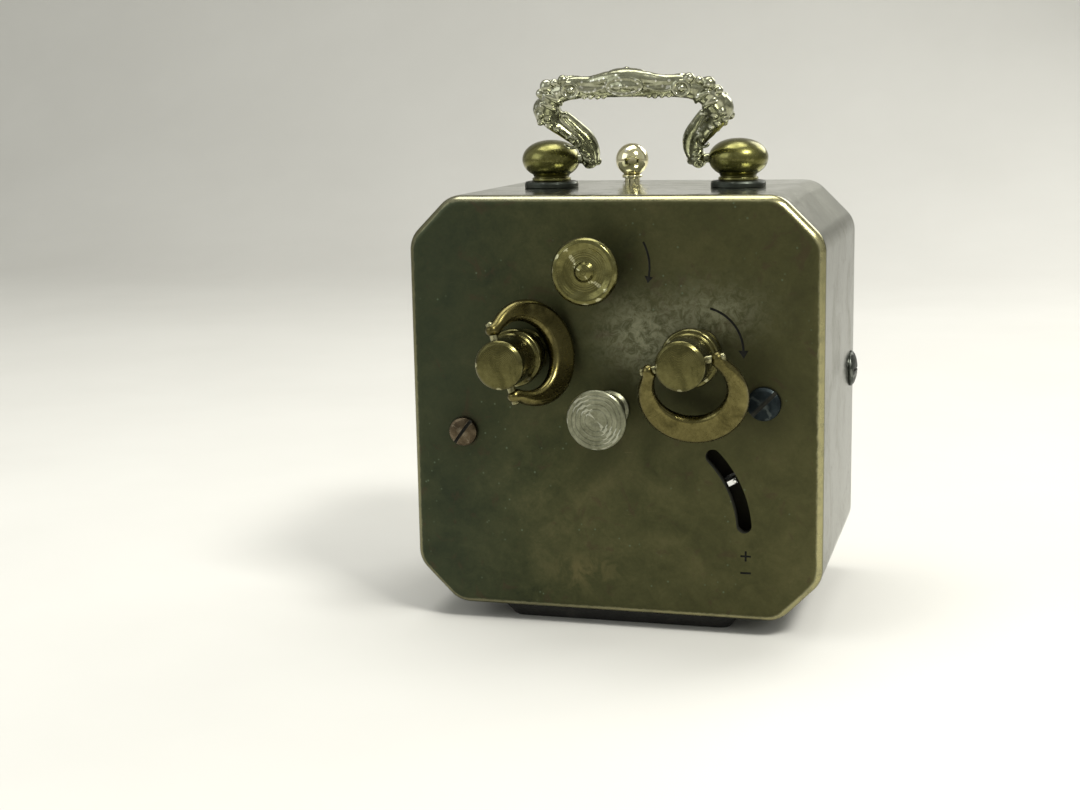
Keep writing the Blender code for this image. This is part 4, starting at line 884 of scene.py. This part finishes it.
        bpy.context.scene.collection.objects.link(o)
        o.matrix_world = upright((16.9 * math.cos(a), dlo.y - 0.01, cz + 16.9 * math.sin(a)))
        carry(o, "case", "dial_card")


build_front()


# ---------------------------------------------------------------- hands
def sym(points):
    return points + [(x, -y) for x, y in points[::-1] if abs(y) > 1e-6]


def build_hand(name, node, body, slot, mat, outline, toward, hub, bore, t):
    lo, hi = box(node)
    y = (lo.y + hi.y) / 2
    ct, st = math.cos(math.radians(toward)), math.sin(math.radians(toward))
    pts = [(x * ct - z * st, x * st + z * ct) for x, z in resample(outline, 0.22)]
    o = pad(name, pts, t, mat, upright((0, y, CENTRE[2])), edge=0.22, rise=t / 2, n=3)
    ringp = [(bore, t / 2 + 0.02, 0.03), (hub * 0.8, t / 2 + 0.12, 0.06), (hub, t / 2 - 0.02, 0.05), (hub, -t / 2, 0.03), (bore, -t / 2, 0.03)]
    collar = lathe(name + "_collar", ringp, mat, (0, 0, 0), "Y", 48, ring=True)
    collar.matrix_world = place((0, y, CENTRE[2]), "Y") @ Matrix.Rotation(math.pi, 4, "X")
    carry(o, body, slot, node)
    carry(collar, body, slot)


def spade(length, w, hub):
    a = math.asin(min(1, w * 0.9 / hub))
    pts = [(-hub, 0.0)] + [(-hub * math.cos(q), hub * math.sin(q)) for q in np.linspace(0.3, math.pi - a, 10)]
    pts += [(length * 0.50, w * 0.75), (length * 0.56, w * 1.6), (length * 0.60, w * 2.8), (length * 0.655, w * 3.3), (length * 0.71, w * 2.9), (length * 0.76, w * 1.7),
            (length * 0.82, w * 0.9), (length * 0.92, w * 0.45), (length, 0.0)]
    return sym([tuple(p) for p in pts])


build_hand("hour_pointer", "hour_hand", "hour", "dark_steel", HAND_BLUE, spade(12.5, 0.42, 2.2), 145.0, 2.2, 1.58, 0.34)
build_hand("minute_pointer", "minute_hand", "hand_setting", "dark_steel", HAND_BLUE, spade(19.0, 0.36, 1.8), 30.0, 1.8, 1.08, 0.34)
build_hand("alarm_pointer", "alarm_hand", "alarm_disc", "polished_brass", HAND_BRASS, spade(8.9, 0.26, 2.7), 112.5, 2.7, 2.15, 0.28)
tip = lathe("hand_cap", [(0, 1.0), (0.45, 0.95, 0.1), (0.62, 0.6, 0.15), (0.62, 0.0, 0.05), (0, 0)], HAND_BRASS, (0, 0, 0), "Y", 32)
tip.matrix_world = place((0, -14.9, CENTRE[2]), "Y") @ Matrix.Rotation(math.pi, 4, "X")
carry(tip, "hand_setting", "polished_brass")


# ================================================================ winding keys and their bails
def build_key(kind, c, body):
    lo, hi = box(kind + "_winding_key")
    y0, y2 = lo.y, hi.y
    y1 = 27.5
    prof = [(0, y2 - 0.02), (2.2, y2 - 0.03, 0.3), (2.95, y2 - 0.12, 0.35), (3.42, y2 - 0.5, 0.4), (3.46, y2 - 1.5, 0.1), (3.42, y2 - 3.4, 0.1), (3.40, y1 + 0.5, 0.3), (3.30, y1 + 0.28, 0.12),
            (3.55, y1 + 0.02, 0.1), (3.95, y1, 0.2), (4.12, y1 - 0.35, 0.25), (4.12, y1 - 1.5, 0.2), (3.92, y1 - 2.2, 0.3), (3.4, y1 - 4.2, 0.5), (3.1, y0 + 1.0, 0.3), (3.35, y0 + 0.6, 0.15), (3.35, y0, 0.12),
            (1.53, y0, 0.05), (1.53, 28.6, 0.0), (0, 28.6)]
    key = lathe(kind + "_key_body", prof, BRASS_DARK, (c[0], 0, c[2]), "Y", 112)
    carry(key, body, "turned_brass", kind + "_winding_key")


def build_bail(kind, c, body, toward, tilt):
    """Crescent with rolled edges; local X away from the pin line, local Y along it."""
    bo = math.acos((1.6 - 5.4) / 7.55)
    bi = math.pi - math.asin(3.62 / 4.9)
    er, ea = 1.0, 4.78
    ear = [(er * math.cos(math.radians(q)), ea + er * math.sin(math.radians(q))) for q in range(66, 271, 12)]
    out = [(5.4 + 7.55 * math.cos(b), 7.55 * math.sin(b)) for b in np.linspace(-bo, bo, 60)]
    inn = [(3.85 + 4.9 * math.cos(b), 4.9 * math.sin(b)) for b in np.linspace(bi, -bi, 48)]
    pts = out + ear + inn + [(t, -a) for t, a in ear[::-1]]
    p = resample(pts, 0.24)
    for _ in range(10):
        p = (np.roll(p, 1, 0) + 2 * p + np.roll(p, -1, 0)) / 4
    d, th = math.radians(toward), math.radians(tilt)
    o = Vector((math.cos(d) * math.cos(th), -math.sin(th), math.sin(d) * math.cos(th)))
    pin = Vector((-math.sin(d), 0, math.cos(d)))
    m = Matrix((o, pin, o.cross(pin))).transposed().to_4x4()
    m.translation = Vector((c[0], BAIL_Y, c[2])) * MM
    b = pad(kind + "_bail_ring", p, 1.9, BRASS_BAIL, m, edge=0.85, rise=0.95, n=8, sharp=60, weighted=True)
    carry(b, body, "turned_brass", kind + "_key_bail")
    for k, s in (("a", 1), ("b", -1)):
        turn = Matrix.Rotation(math.radians(-90 * s), 4, "X")
        pn = lathe(kind + "_bail_pin_" + k, [(0, 5.98), (0.35, 5.96, 0.1), (0.58, 5.8, 0.15), (0.58, 2.1, 0.1), (0, 2.1)], BRASS_DARK, (0, 0, 0), "Z", 28)
        pn.matrix_world = m @ turn
        carry(pn, body, "turned_brass")


build_key("time", TIME, "time_winding")
build_key("alarm", ALARM, "alarm_winding")
build_bail("time", TIME, "time_bail", 258.0, 26.0)
build_bail("alarm", ALARM, "alarm_bail", 162.0, 57.0)

# ---------------------------------------------------------------- setting knobs
lo, hi = box("hand_set_knob")
y = hi.y
grooves = []
for r in (1.55, 2.25, 2.95, 3.5):
    grooves += [(r - 0.16, y - 0.02, 0.05), (r, y - 0.11, 0.06), (r + 0.16, y - 0.02, 0.05)]
prof = [(0, y - 0.05), (0.35, y - 0.10, 0.1), (0.8, y - 0.03, 0.1)] + grooves + [(3.95, y - 0.02, 0.12), (4.19, y - 0.22, 0.14), (4.19, y - 0.62, 0.15), (3.9, y - 0.82, 0.15), (2.4, y - 1.15, 0.3),
                                                                         (2.25, y - 1.9, 0.3), (2.25, 21.6, 0.2), (2.7, 21.2, 0.15), (2.7, 20.75, 0.1), (1.03, 20.75, 0.05), (1.03, 28.3, 0.0), (0, 28.3)]
carry(lathe("hand_set_cap", prof, NICKEL, (CENTRE[0], 0, CENTRE[2]), "Y", 112), "hand_setting", "nickel", "hand_set_knob")

y = 28.0
prof = [(0, y + 0.30), (0.55, y + 0.27, 0.3), (1.12, y + 0.02, 0.35), (1.45, y - 0.38, 0.25), (1.9, y - 0.46, 0.4), (3.0, y - 0.44, 0.6), (3.5, y - 0.16, 0.3), (3.95, y + 0.04, 0.4), (4.45, y - 0.10, 0.4), (4.74, y - 0.60, 0.3),
        (4.55, y - 1.15, 0.25), (3.7, y - 1.65, 0.3), (2.2, y - 1.95, 0.3), (2.05, y - 3.0, 0.3), (2.05, 21.5, 0.2), (2.45, 21.1, 0.15), (2.45, 20.75, 0.1), (0.93, 20.75, 0.05), (0.93, 27.1, 0), (0, 27.1)]
carry(lathe("alarm_set_cap", prof, BRASS_KNOB, (SET[0], 0, SET[2]), "Y", 112), "alarm_setting", "turned_brass", "alarm_set_knob")


# ---------------------------------------------------------------- screws
def build_screw(name, node, r, mat, slot_deg, wide, deep, dome, slot):
    lo, hi = box(node)
    x, z = (lo.x + hi.x) / 2, (lo.z + hi.z) / 2
    top, y0 = hi.y, BACK + 0.02
    prof = [(0, top), (r * 0.45, top - dome * 0.25, 0.3), (r * 0.80, top - dome * 0.75, 0.3), (r * 0.97, top - dome - 0.12, 0.18), (r, top - dome - 0.4, 0.1), (r, y0 + 0.05, 0.06), (r - 0.1, y0, 0.03),
            (1.0, y0, 0.03), (1.0, lo.y, 0.1), (0, lo.y)]
    s = lathe(name, prof, mat, (x, 0, z), "Y", 72)
    q = math.radians(slot_deg)
    c, d = math.cos(q), math.sin(q)
    outline = [(a * c - b * d, a * d + b * c) for a, b in ((-r - 1, -wide), (r + 1, -wide), (r + 1, wide), (-r - 1, wide))]
    s.modifiers.clear()
    # the slot takes the near-black as painted shade
    cut = block("t", outline, top - deep, top + 1, (x, 0, z))
    cut.data.materials[0] = SOOT_AND_SHADE
    carve(s, cut, transfer=True)
    shade(s, 30)
    carry(s, "case", slot, node)


build_screw("copper_head", "movement_screw_copper", 2.12, COPPER, 127, 0.24, 0.6, 0.25, "copper_screw")
build_screw("blued_head", "movement_screw_blued", 2.4, BLUED, 135, 0.30, 0.65, 0.45, "blued_steel")
for side, axis, sx in (("left", "X", 1), ("right", "-X", -1)):
    lo, hi = box("side_screw_" + side)
    yy, zz = (lo.y + hi.y) / 2, (lo.z + hi.z) / 2
    t, f = 31.05, CASE_W / 2 + 0.02
    prof = [(0, t), (0.8, t - 0.05, 0.3), (1.7, t - 0.24, 0.3), (2.35, t - 0.5, 0.3), (2.75, t - 0.8, 0.15), (2.8, f, 0.05), (1.05, f, 0.03), (1.05, 27.0, 0.05), (0, 27.0)]
    s = lathe("side_stud_" + side, prof, DARK_STEEL, (0, yy, zz), axis, 72)
    s.modifiers.clear()
    # the slot takes the near-black as painted shade
    verts = [(sx * a, yy + b, zz + c) for a in (t - 0.42, t + 1) for b, c in ((-3.5, -0.22), (3.5, -0.22), (3.5, 0.22), (-3.5, 0.22))]
    carve(s, mesh("t", verts, [(0, 1, 2, 3), (7, 6, 5, 4)] + [(k, (k + 1) % 4, 4 + (k + 1) % 4, 4 + k) for k in range(4)], SOOT_AND_SHADE), transfer=True)
    shade(s, 30)
    carry(s, "case", "dark_steel", "side_screw_" + side)

# ================================================================ top: posts, washers, button
BALL_R, BALL_H = (ph.x - pl.x) / 2, ph.z - PIVOT_Z
for side, x in (("left", POST_L), ("right", POST_R)):
    prof = [(0, PIVOT_Z + BALL_H, 0)]
    for k in range(1, 30):
        a = math.radians(90 - 142 * k / 29)
        # a slightly squared oval
        cr = math.copysign(abs(math.cos(a)) ** 0.92, math.cos(a))
        sr = math.copysign(abs(math.sin(a)) ** 1.0, math.sin(a))
        prof.append((BALL_R * cr, PIVOT_Z + BALL_H * sr, 0))
    prof += [(2.62, Z1 + 1.60, 0.12), (2.95, Z1 + 1.42, 0.1), (2.95, Z1 + 1.05, 0.08), (1.3, Z1 + 1.0, 0.02), (1.3, Z1 - 1.6, 0.05), (0, Z1 - 1.6)]
    carry(lathe("post_ball_" + side, prof, BRASS_BALL, (x, 0, 0), "Z", 96), "case", "turned_brass", "handle_post_" + side)
    prof = [(1.4, Z1 + 0.99, 0.05), (3.55, Z1 + 0.99, 0.1), (3.95, Z1 + 0.9, 0.12), (4.08, Z1 + 0.6, 0.12), (4.08, Z1 + 0.06, 0.06), (3.95, Z1 + 0.01, 0.03), (1.4, Z1 + 0.01, 0.03)]
    carry(lathe("post_seat_" + side, prof, DARK_STEEL, (x, 0, 0), "Z", 96, ring=True), "case", "dark_steel", "post_washer_" + side)

br = 2.6
bz = BUTTON[2] - br
prof = [(0, bz + br, 0)] + [(br * math.cos(math.radians(90 - 150 * k / 31)), bz + br * math.sin(math.radians(90 - 150 * k / 31)), 0) for k in range(1, 32)]
prof += [(1.5, Z1 + 1.1, 0.15), (1.62, Z1 + 0.95, 0.08), (1.62, Z1 + 0.65, 0.08), (1.2, Z1 + 0.55, 0.1), (1.2, bl.z + 0.6, 0.05), (1.6, bl.z + 0.5, 0.05), (1.6, bl.z, 0.05), (0, bl.z)]
carry(lathe("stop_button_ball", prof, BUTTON_BRASS, (BUTTON[0], BUTTON[1], 0), "Z", 72), "stop_button", "polished_brass", "alarm_stop_button")


# ================================================================ cast handle
def build_handle():
    parts = []

    def add(data):
        parts.append(data)

    def ball(a, s, r, y=0.0, wide=1.0, seg=20):
        add(blob_data((a, y, s), (r * wide, r, r), seg, seg * 2 // 3))

    def rope(pts, r, sect=12):
        add(tube_data([(a, y, s) for a, s, y in pts], list(r) if hasattr(r, "__len__") else [r] * len(pts), sect, 3))

    half = [(8.3, -0.5, 1.10), (8.2, 1.2, 1.10), (8.35, 2.8, 1.20), (9.3, 4.9, 1.45), (10.9, 7.0, 1.55), (12.4, 9.3, 1.80), (12.3, 11.6, 1.75), (11.0, 13.5, 1.60), (9.0, 14.6, 1.60), (6.0, 14.9, 1.50),
            (3.0, 15.1, 1.60), (0.0, 15.35, 1.75)]
    line = half + [(-a, s, r) for a, s, r in half[-2::-1]]
    sp = smooth_path(line, 6)
    add(tube_data([(a, 0, s) for a, s, r in sp], [r for a, s, r in sp], 28))
    # smooth ridge along the outside of the bar, high in the middle
    crest = smooth_path([(-9.6, 15.7), (-7.6, 16.1), (-5.2, 16.0), (-2.6, 16.55), (0, 16.95), (2.6, 16.55), (5.2, 16.0), (7.6, 16.1), (9.6, 15.7)], 6)
    rope([(a, s, 0) for a, s in crest], [0.72 + 0.42 * math.cos(a / 9.6 * math.pi / 2) ** 2 for a, s in crest], 18)
    for f in (1, -1):
        # middle cartouche: a raised oval with a rim and three bosses
        m = Vector((0, 0.82 * f, 0.57))
        v = Vector((0, -0.57 * f, 0.82))
        c = Vector((0, 0, 15.45)) + m * 1.45
        add(blob_data(tuple(c - m * 0.25), (2.85, 1.15, 1.15), 26, 16))
        rim = [tuple(c + m * 0.42 + Vector((2.55 * math.cos(TAU * k / 40), 0, 0)) + v * (1.18 * math.sin(TAU * k / 40)) - m * 0.10 * math.cos(TAU * k / 40) ** 2 * 2.2) for k in range(41)]
        add(tube_data(rim, [0.27] * 41, 10, 2))
        for x, h, r in ((0, 0.05, 0.52), (1.35, 0.0, 0.38), (-1.35, 0.0, 0.38)):
            p = c + m * (0.58 - abs(x) * 0.1) + Vector((x, 0, 0)) + v * h
            add(blob_data(tuple(p), r, 14, 10))
    for sx in (1, -1):
        for f in (1, -1):
            # second oval at the bar's end
            m = Vector((0, 0.80 * f, 0.60))
            v = Vector((0, -0.60 * f, 0.80))
            c = Vector((sx * 8.1, 0, 14.7)) + m * 1.35
            rim = [tuple(c + m * 0.20 + Vector((1.15 * math.cos(TAU * k / 28), 0, 0)) + v * (1.0 * math.sin(TAU * k / 28))) for k in range(29)]
            add(tube_data(rim, [0.27] * 29, 10, 2))
            add(blob_data(tuple(c + m * 0.12), (0.55, 0.5, 0.55), 14, 10))
            # row of bosses on the lower edge of the bar, growing toward the middle
            for a, r in ((6.2, 0.36), (5.2, 0.40), (4.2, 0.44), (3.3, 0.40)):
                add(blob_data((sx * a, f * 1.42, 14.45 + 0.02 * (6.2 - a)), r, 12, 9))
            # slim leaf between the ovals
            leaf = [(6.7, 15.55), (5.6, 15.3), (4.4, 15.45), (3.3, 15.9)]
            leaf = smooth_path(leaf, 5)
            rope([(sx * a, s, f * 1.22) for a, s in leaf], list(0.16 + 0.24 * np.sin(np.linspace(0.2, math.pi - 0.1, len(leaf)))), 10)
            # diagonal leaf over the shoulder
            leaf = smooth_path([(11.9, 14.9), (11.0, 14.5), (10.2, 13.9), (9.9, 13.0)], 5)
            rope([(sx * a, s, f * 1.38) for a, s in leaf], list(0.20 + 0.36 * np.sin(np.linspace(0.3, math.pi - 0.2, len(leaf)))), 12)
            leaf = smooth_path([(12.9, 13.3), (12.0, 13.0), (11.1, 12.3), (10.8, 11.5)], 5)
            rope([(sx * a, s, f * 1.42) for a, s in leaf], list(0.18 + 0.30 * np.sin(np.linspace(0.3, math.pi - 0.2, len(leaf)))), 12)
            # bosses on the side of the bulge
            for a, s, r in ((13.4, 11.2, 0.62), (12.3, 10.5, 0.62), (13.7, 9.6, 0.58), (12.5, 8.9, 0.60), (11.5, 8.1, 0.52)):
                add(blob_data((sx * a, f * 1.52, s), r, 14, 10))
            # eye of the leg scroll
            rim = [(sx * (9.75 + 0.98 * math.cos(q)), 5.25 + 0.98 * math.sin(q), f * (1.18 + 0.03 * k)) for k, q in ((k, 0.6 + 5.6 * k / 26) for k in range(27))]
            rope(rim, list(np.linspace(0.34, 0.24, 27)), 10)
            add(blob_data((sx * 9.75, f * 1.35, 5.25), (0.42, 0.42, 0.42), 12, 9))
            # ribs wrapping the leg below the eye
            for a0, s0, a1, s1 in ((9.6, 3.7, 7.9, 3.1), (9.3, 2.6, 7.5, 1.9), (9.1, 1.5, 7.4, 0.8)):
                rope([(sx * (a0 + (a1 - a0) * t), s0 + (s1 - s0) * t - 0.25 * math.sin(math.pi * t), f * (0.62 + 0.50 * math.sin(math.pi * t))) for t in np.linspace(0, 1, 9)],
                     list(0.22 + 0.12 * np.sin(np.linspace(0, math.pi, 9))), 10)
            # end scroll
            rim = [(sx * (8.45 + 0.75 * (1 - 0.35 * t) * math.cos(0.4 + 5.2 * t)), -0.35 + 0.75 * (1 - 0.35 * t) * math.sin(0.4 + 5.2 * t), f * (0.86 + 0.1 * t)) for t in np.linspace(0, 1, 20)]
            rope(rim, 0.24, 9)
        # nodules along the outside
        ball(sx * 9.2, 16.45, 0.80)
        ball(sx * 10.55, 16.0, 0.62)
        ball(sx * 11.85, 15.3, 1.02)
        ball(sx * 13.05, 13.9, 0.72)
        add(blob_data((sx * 13.1, 0, 10.5), (1.75, 1.75, 2.15), 26, 18))
        ball(sx * 14.15, 9.0, 0.72)
        ball(sx * 13.1, 7.6, 0.66)
        ball(sx * 11.9, 6.3, 0.58)
        # inner side of the leg, smooth
        inner = smooth_path([(10.2, 9.4), (8.9, 7.2), (7.8, 5.2), (7.3, 3.2), (7.25, 1.4), (7.5, -0.3)], 5)
        rope([(sx * a, s, 0) for a, s in inner], list(0.55 + 0.35 * np.sin(np.linspace(0.2, math.pi - 0.3, len(inner)))), 16)
        # scroll end
        add(blob_data((sx * 8.35, 0, -0.45), (1.22, 1.15, 1.20), 22, 15))
        ball(sx * 7.15, -0.55, 0.62)
        # trunnion into the post
        add(tube_data([(sx * 8.2, 0, 0), (sx * 9.6, 0, 0), (sx * 11.2, 0, 0)], [0.7, 0.7, 0.7], 16, 2))
    verts, faces = [], []
    for v, f in parts:
        faces += [tuple(i + len(verts) for i in q) for q in f]
        verts += v
    o = mesh("handle_casting", verts, faces, CAST)
    r = o.modifiers.new("fuse", "REMESH")
    r.mode = "VOXEL"
    r.voxel_size = 0.115 * MM
    s = o.modifiers.new("soften", "SMOOTH")
    s.factor = 0.5
    s.iterations = 5
    applied(o)
    # the caster's uneven surface
    me = o.data
    count = len(me.vertices)
    at, out = np.empty(count * 3), np.empty(count * 3)
    me.vertices.foreach_get("co", at)
    me.vertices.foreach_get("normal", out)
    at, out = at.reshape(-1, 3), out.reshape(-1, 3)
    k = np.array([noise.noise(Vector(p)) for p in (at * 1100).tolist()]) * 0.035 * MM
    me.vertices.foreach_set("co", (at + out * k[:, None]).ravel())
    me.update()
    me.polygons.foreach_set("use_smooth", [True] * len(me.polygons))
    m = Matrix.Rotation(math.radians(-45), 4, "X")
    m.translation = Vector((HANDLE_X, 0, PIVOT_Z)) * MM
    o.matrix_world = m
    carry(o, "handle", "cast_handle", "handle")


build_handle()

# ---------------------------------------------------------------- regulator's bright tip in the slot
lo, hi = box("regulator_lever")
q = math.radians(152.2)
rx, rz = BAL[0] + 16.15 * math.cos(q), BAL[2] + 16.15 * math.sin(q)
pinm = lathe("regulator_pin", [(0, 20.25), (0.22, 20.2, 0.1), (0.34, 20.0, 0.1), (0.34, 18.4, 0.05), (0, 18.4)], TIP_STEEL, (rx, 0, rz), "Y", 28)
carry(pinm, "regulator", "movement_steel")

# ---------------------------------------------------------------- finishes of the CAD pieces that stay
STEEL = {"movement_steel": MOVE_STEEL, "movement_brass": MOVE_BRASS, "blued_steel": BLUED, "dark_steel": DARK_STEEL, "turned_brass": BEZEL, "patinated_brass": CASE,
         "black_felt": FELT, "glass": GLASS, "dial_card": DIAL, "polished_brass": HAND_BRASS, "cast_handle": CAST, "nickel": NICKEL, "copper_screw": COPPER}
SLOT_OF = {s["node"]: s["material_slot"] for s in frame["record"]["subparts"]}
for name, obj in frame["nodes"].items():
    # the movement's back plate and hairspring are coloured near-black as painted shade
    mat = INNER_PAINTED_SHADE if name in ("movement_back_plate", "hairspring") else STEEL[SLOT_OF[name]]
    if obj.data.materials:
        for i in range(len(obj.data.materials)):
            obj.data.materials[i] = mat
    else:
        obj.data.materials.append(mat)


# ================================================================ stage, light, camera
def stage_look():
    g = Look("pale_stage")
    v = g.noise(0.01, 4, 0.6)
    col = g.ramp(v, (0.3, (0.60, 0.592, 0.56)), (0.7, (0.635, 0.627, 0.595)))
    return g.done(col, 0.85, 0.0)


def build_stage():
    rows = []
    depth = [(900.0, 0.0), (300.0, 0.0), (0.0, 0.0), (-300.0, 0.0)]
    for k in range(13):
        a = math.radians(90 * k / 12)
        depth.append((-420.0 - 260.0 * math.sin(a), 260.0 - 260.0 * math.cos(a)))
    depth.append((-680.0, 1500.0))
    verts, faces = [], []
    for y, z in depth:
        rows.append(len(verts))
        verts += [(-1700.0, y, z), (1700.0, y, z)]
    for a, b in zip(rows, rows[1:]):
        faces.append((a, a + 1, b + 1, b))
    o = mesh("stage_sweep", verts, faces, stage_look(), clean=False)
    o.data.polygons.foreach_set("use_smooth", [True] * len(o.data.polygons))
    o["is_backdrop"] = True


build_stage()
world = bpy.data.worlds.new("studio")
bpy.context.scene.world = world
world.use_nodes = True
wt = world.node_tree
wt.nodes.clear()
tc = wt.nodes.new("ShaderNodeTexCoord")
sep = wt.nodes.new("ShaderNodeSeparateXYZ")
wt.links.new(tc.outputs["Generated"], sep.inputs[0])
wr = wt.nodes.new("ShaderNodeValToRGB")
e = wr.color_ramp.elements
e[0].position, e[0].color = 0.42, (0.42, 0.37, 0.30, 1)
e[1].position, e[1].color = 0.56, (0.80, 0.81, 0.76, 1)
mr = wt.nodes.new("ShaderNodeMapRange")
mr.inputs["From Min"].default_value = -1
mr.inputs["From Max"].default_value = 1
wt.links.new(sep.outputs[2], mr.inputs[0])
wt.links.new(mr.outputs[0], wr.inputs[0])
bg = wt.nodes.new("ShaderNodeBackground")
bg.inputs["Strength"].default_value = 0.62
wt.links.new(wr.outputs[0], bg.inputs[0])
wo = wt.nodes.new("ShaderNodeOutputWorld")
wt.links.new(bg.outputs[0], wo.inputs[0])


def area(name, at, aim, size, power, colour=(1, 1, 1)):
    li = bpy.data.lights.new(name, "AREA")
    li.shape = "RECTANGLE"
    li.size, li.size_y = size[0] * MM, size[1] * MM
    li.energy = power
    li.color = colour
    o = bpy.data.objects.new(name, li)
    bpy.context.scene.collection.objects.link(o)
    d = Vector(aim) - Vector(at)
    o.matrix_world = Matrix.Translation(Vector(at) * MM) @ d.to_track_quat("-Z", "Y").to_matrix().to_4x4()
    return o


area("key_light", (-260, 210, 420), (0, 0, 40), (150, 100), 2.3, (1.0, 0.985, 0.93))
area("top_light", (60, -60, 560), (0, 0, 40), (420, 260), 1.7, (1.0, 0.99, 0.95))
area("fill_light", (360, 300, 260), (0, 0, 35), (320, 320), 0.5, (0.95, 0.98, 1.0))
area("front_light", (-220, -420, 320), (0, 0, 35), (320, 260), 1.2, (1.0, 0.99, 0.96))

cam = bpy.data.cameras.new("camera")
cam.lens = 57.25
cam.sensor_width = 36.0
cam.clip_start = 0.01
cam.clip_end = 10.0
camera = bpy.data.objects.new("camera", cam)
bpy.context.scene.collection.objects.link(camera)
camera.matrix_world = Matrix(((-0.96232, 0.03118, -0.27012, -0.05621), (-0.27133, -0.17641, 0.94619, 0.25424), (-0.01815, 0.98382, 0.17823, 0.07684), (0, 0, 0, 1)))
bpy.context.scene.camera = camera
bpy.context.scene.view_settings.view_transform = "Standard"
bpy.context.scene.view_settings.look = "None"

lo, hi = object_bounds()
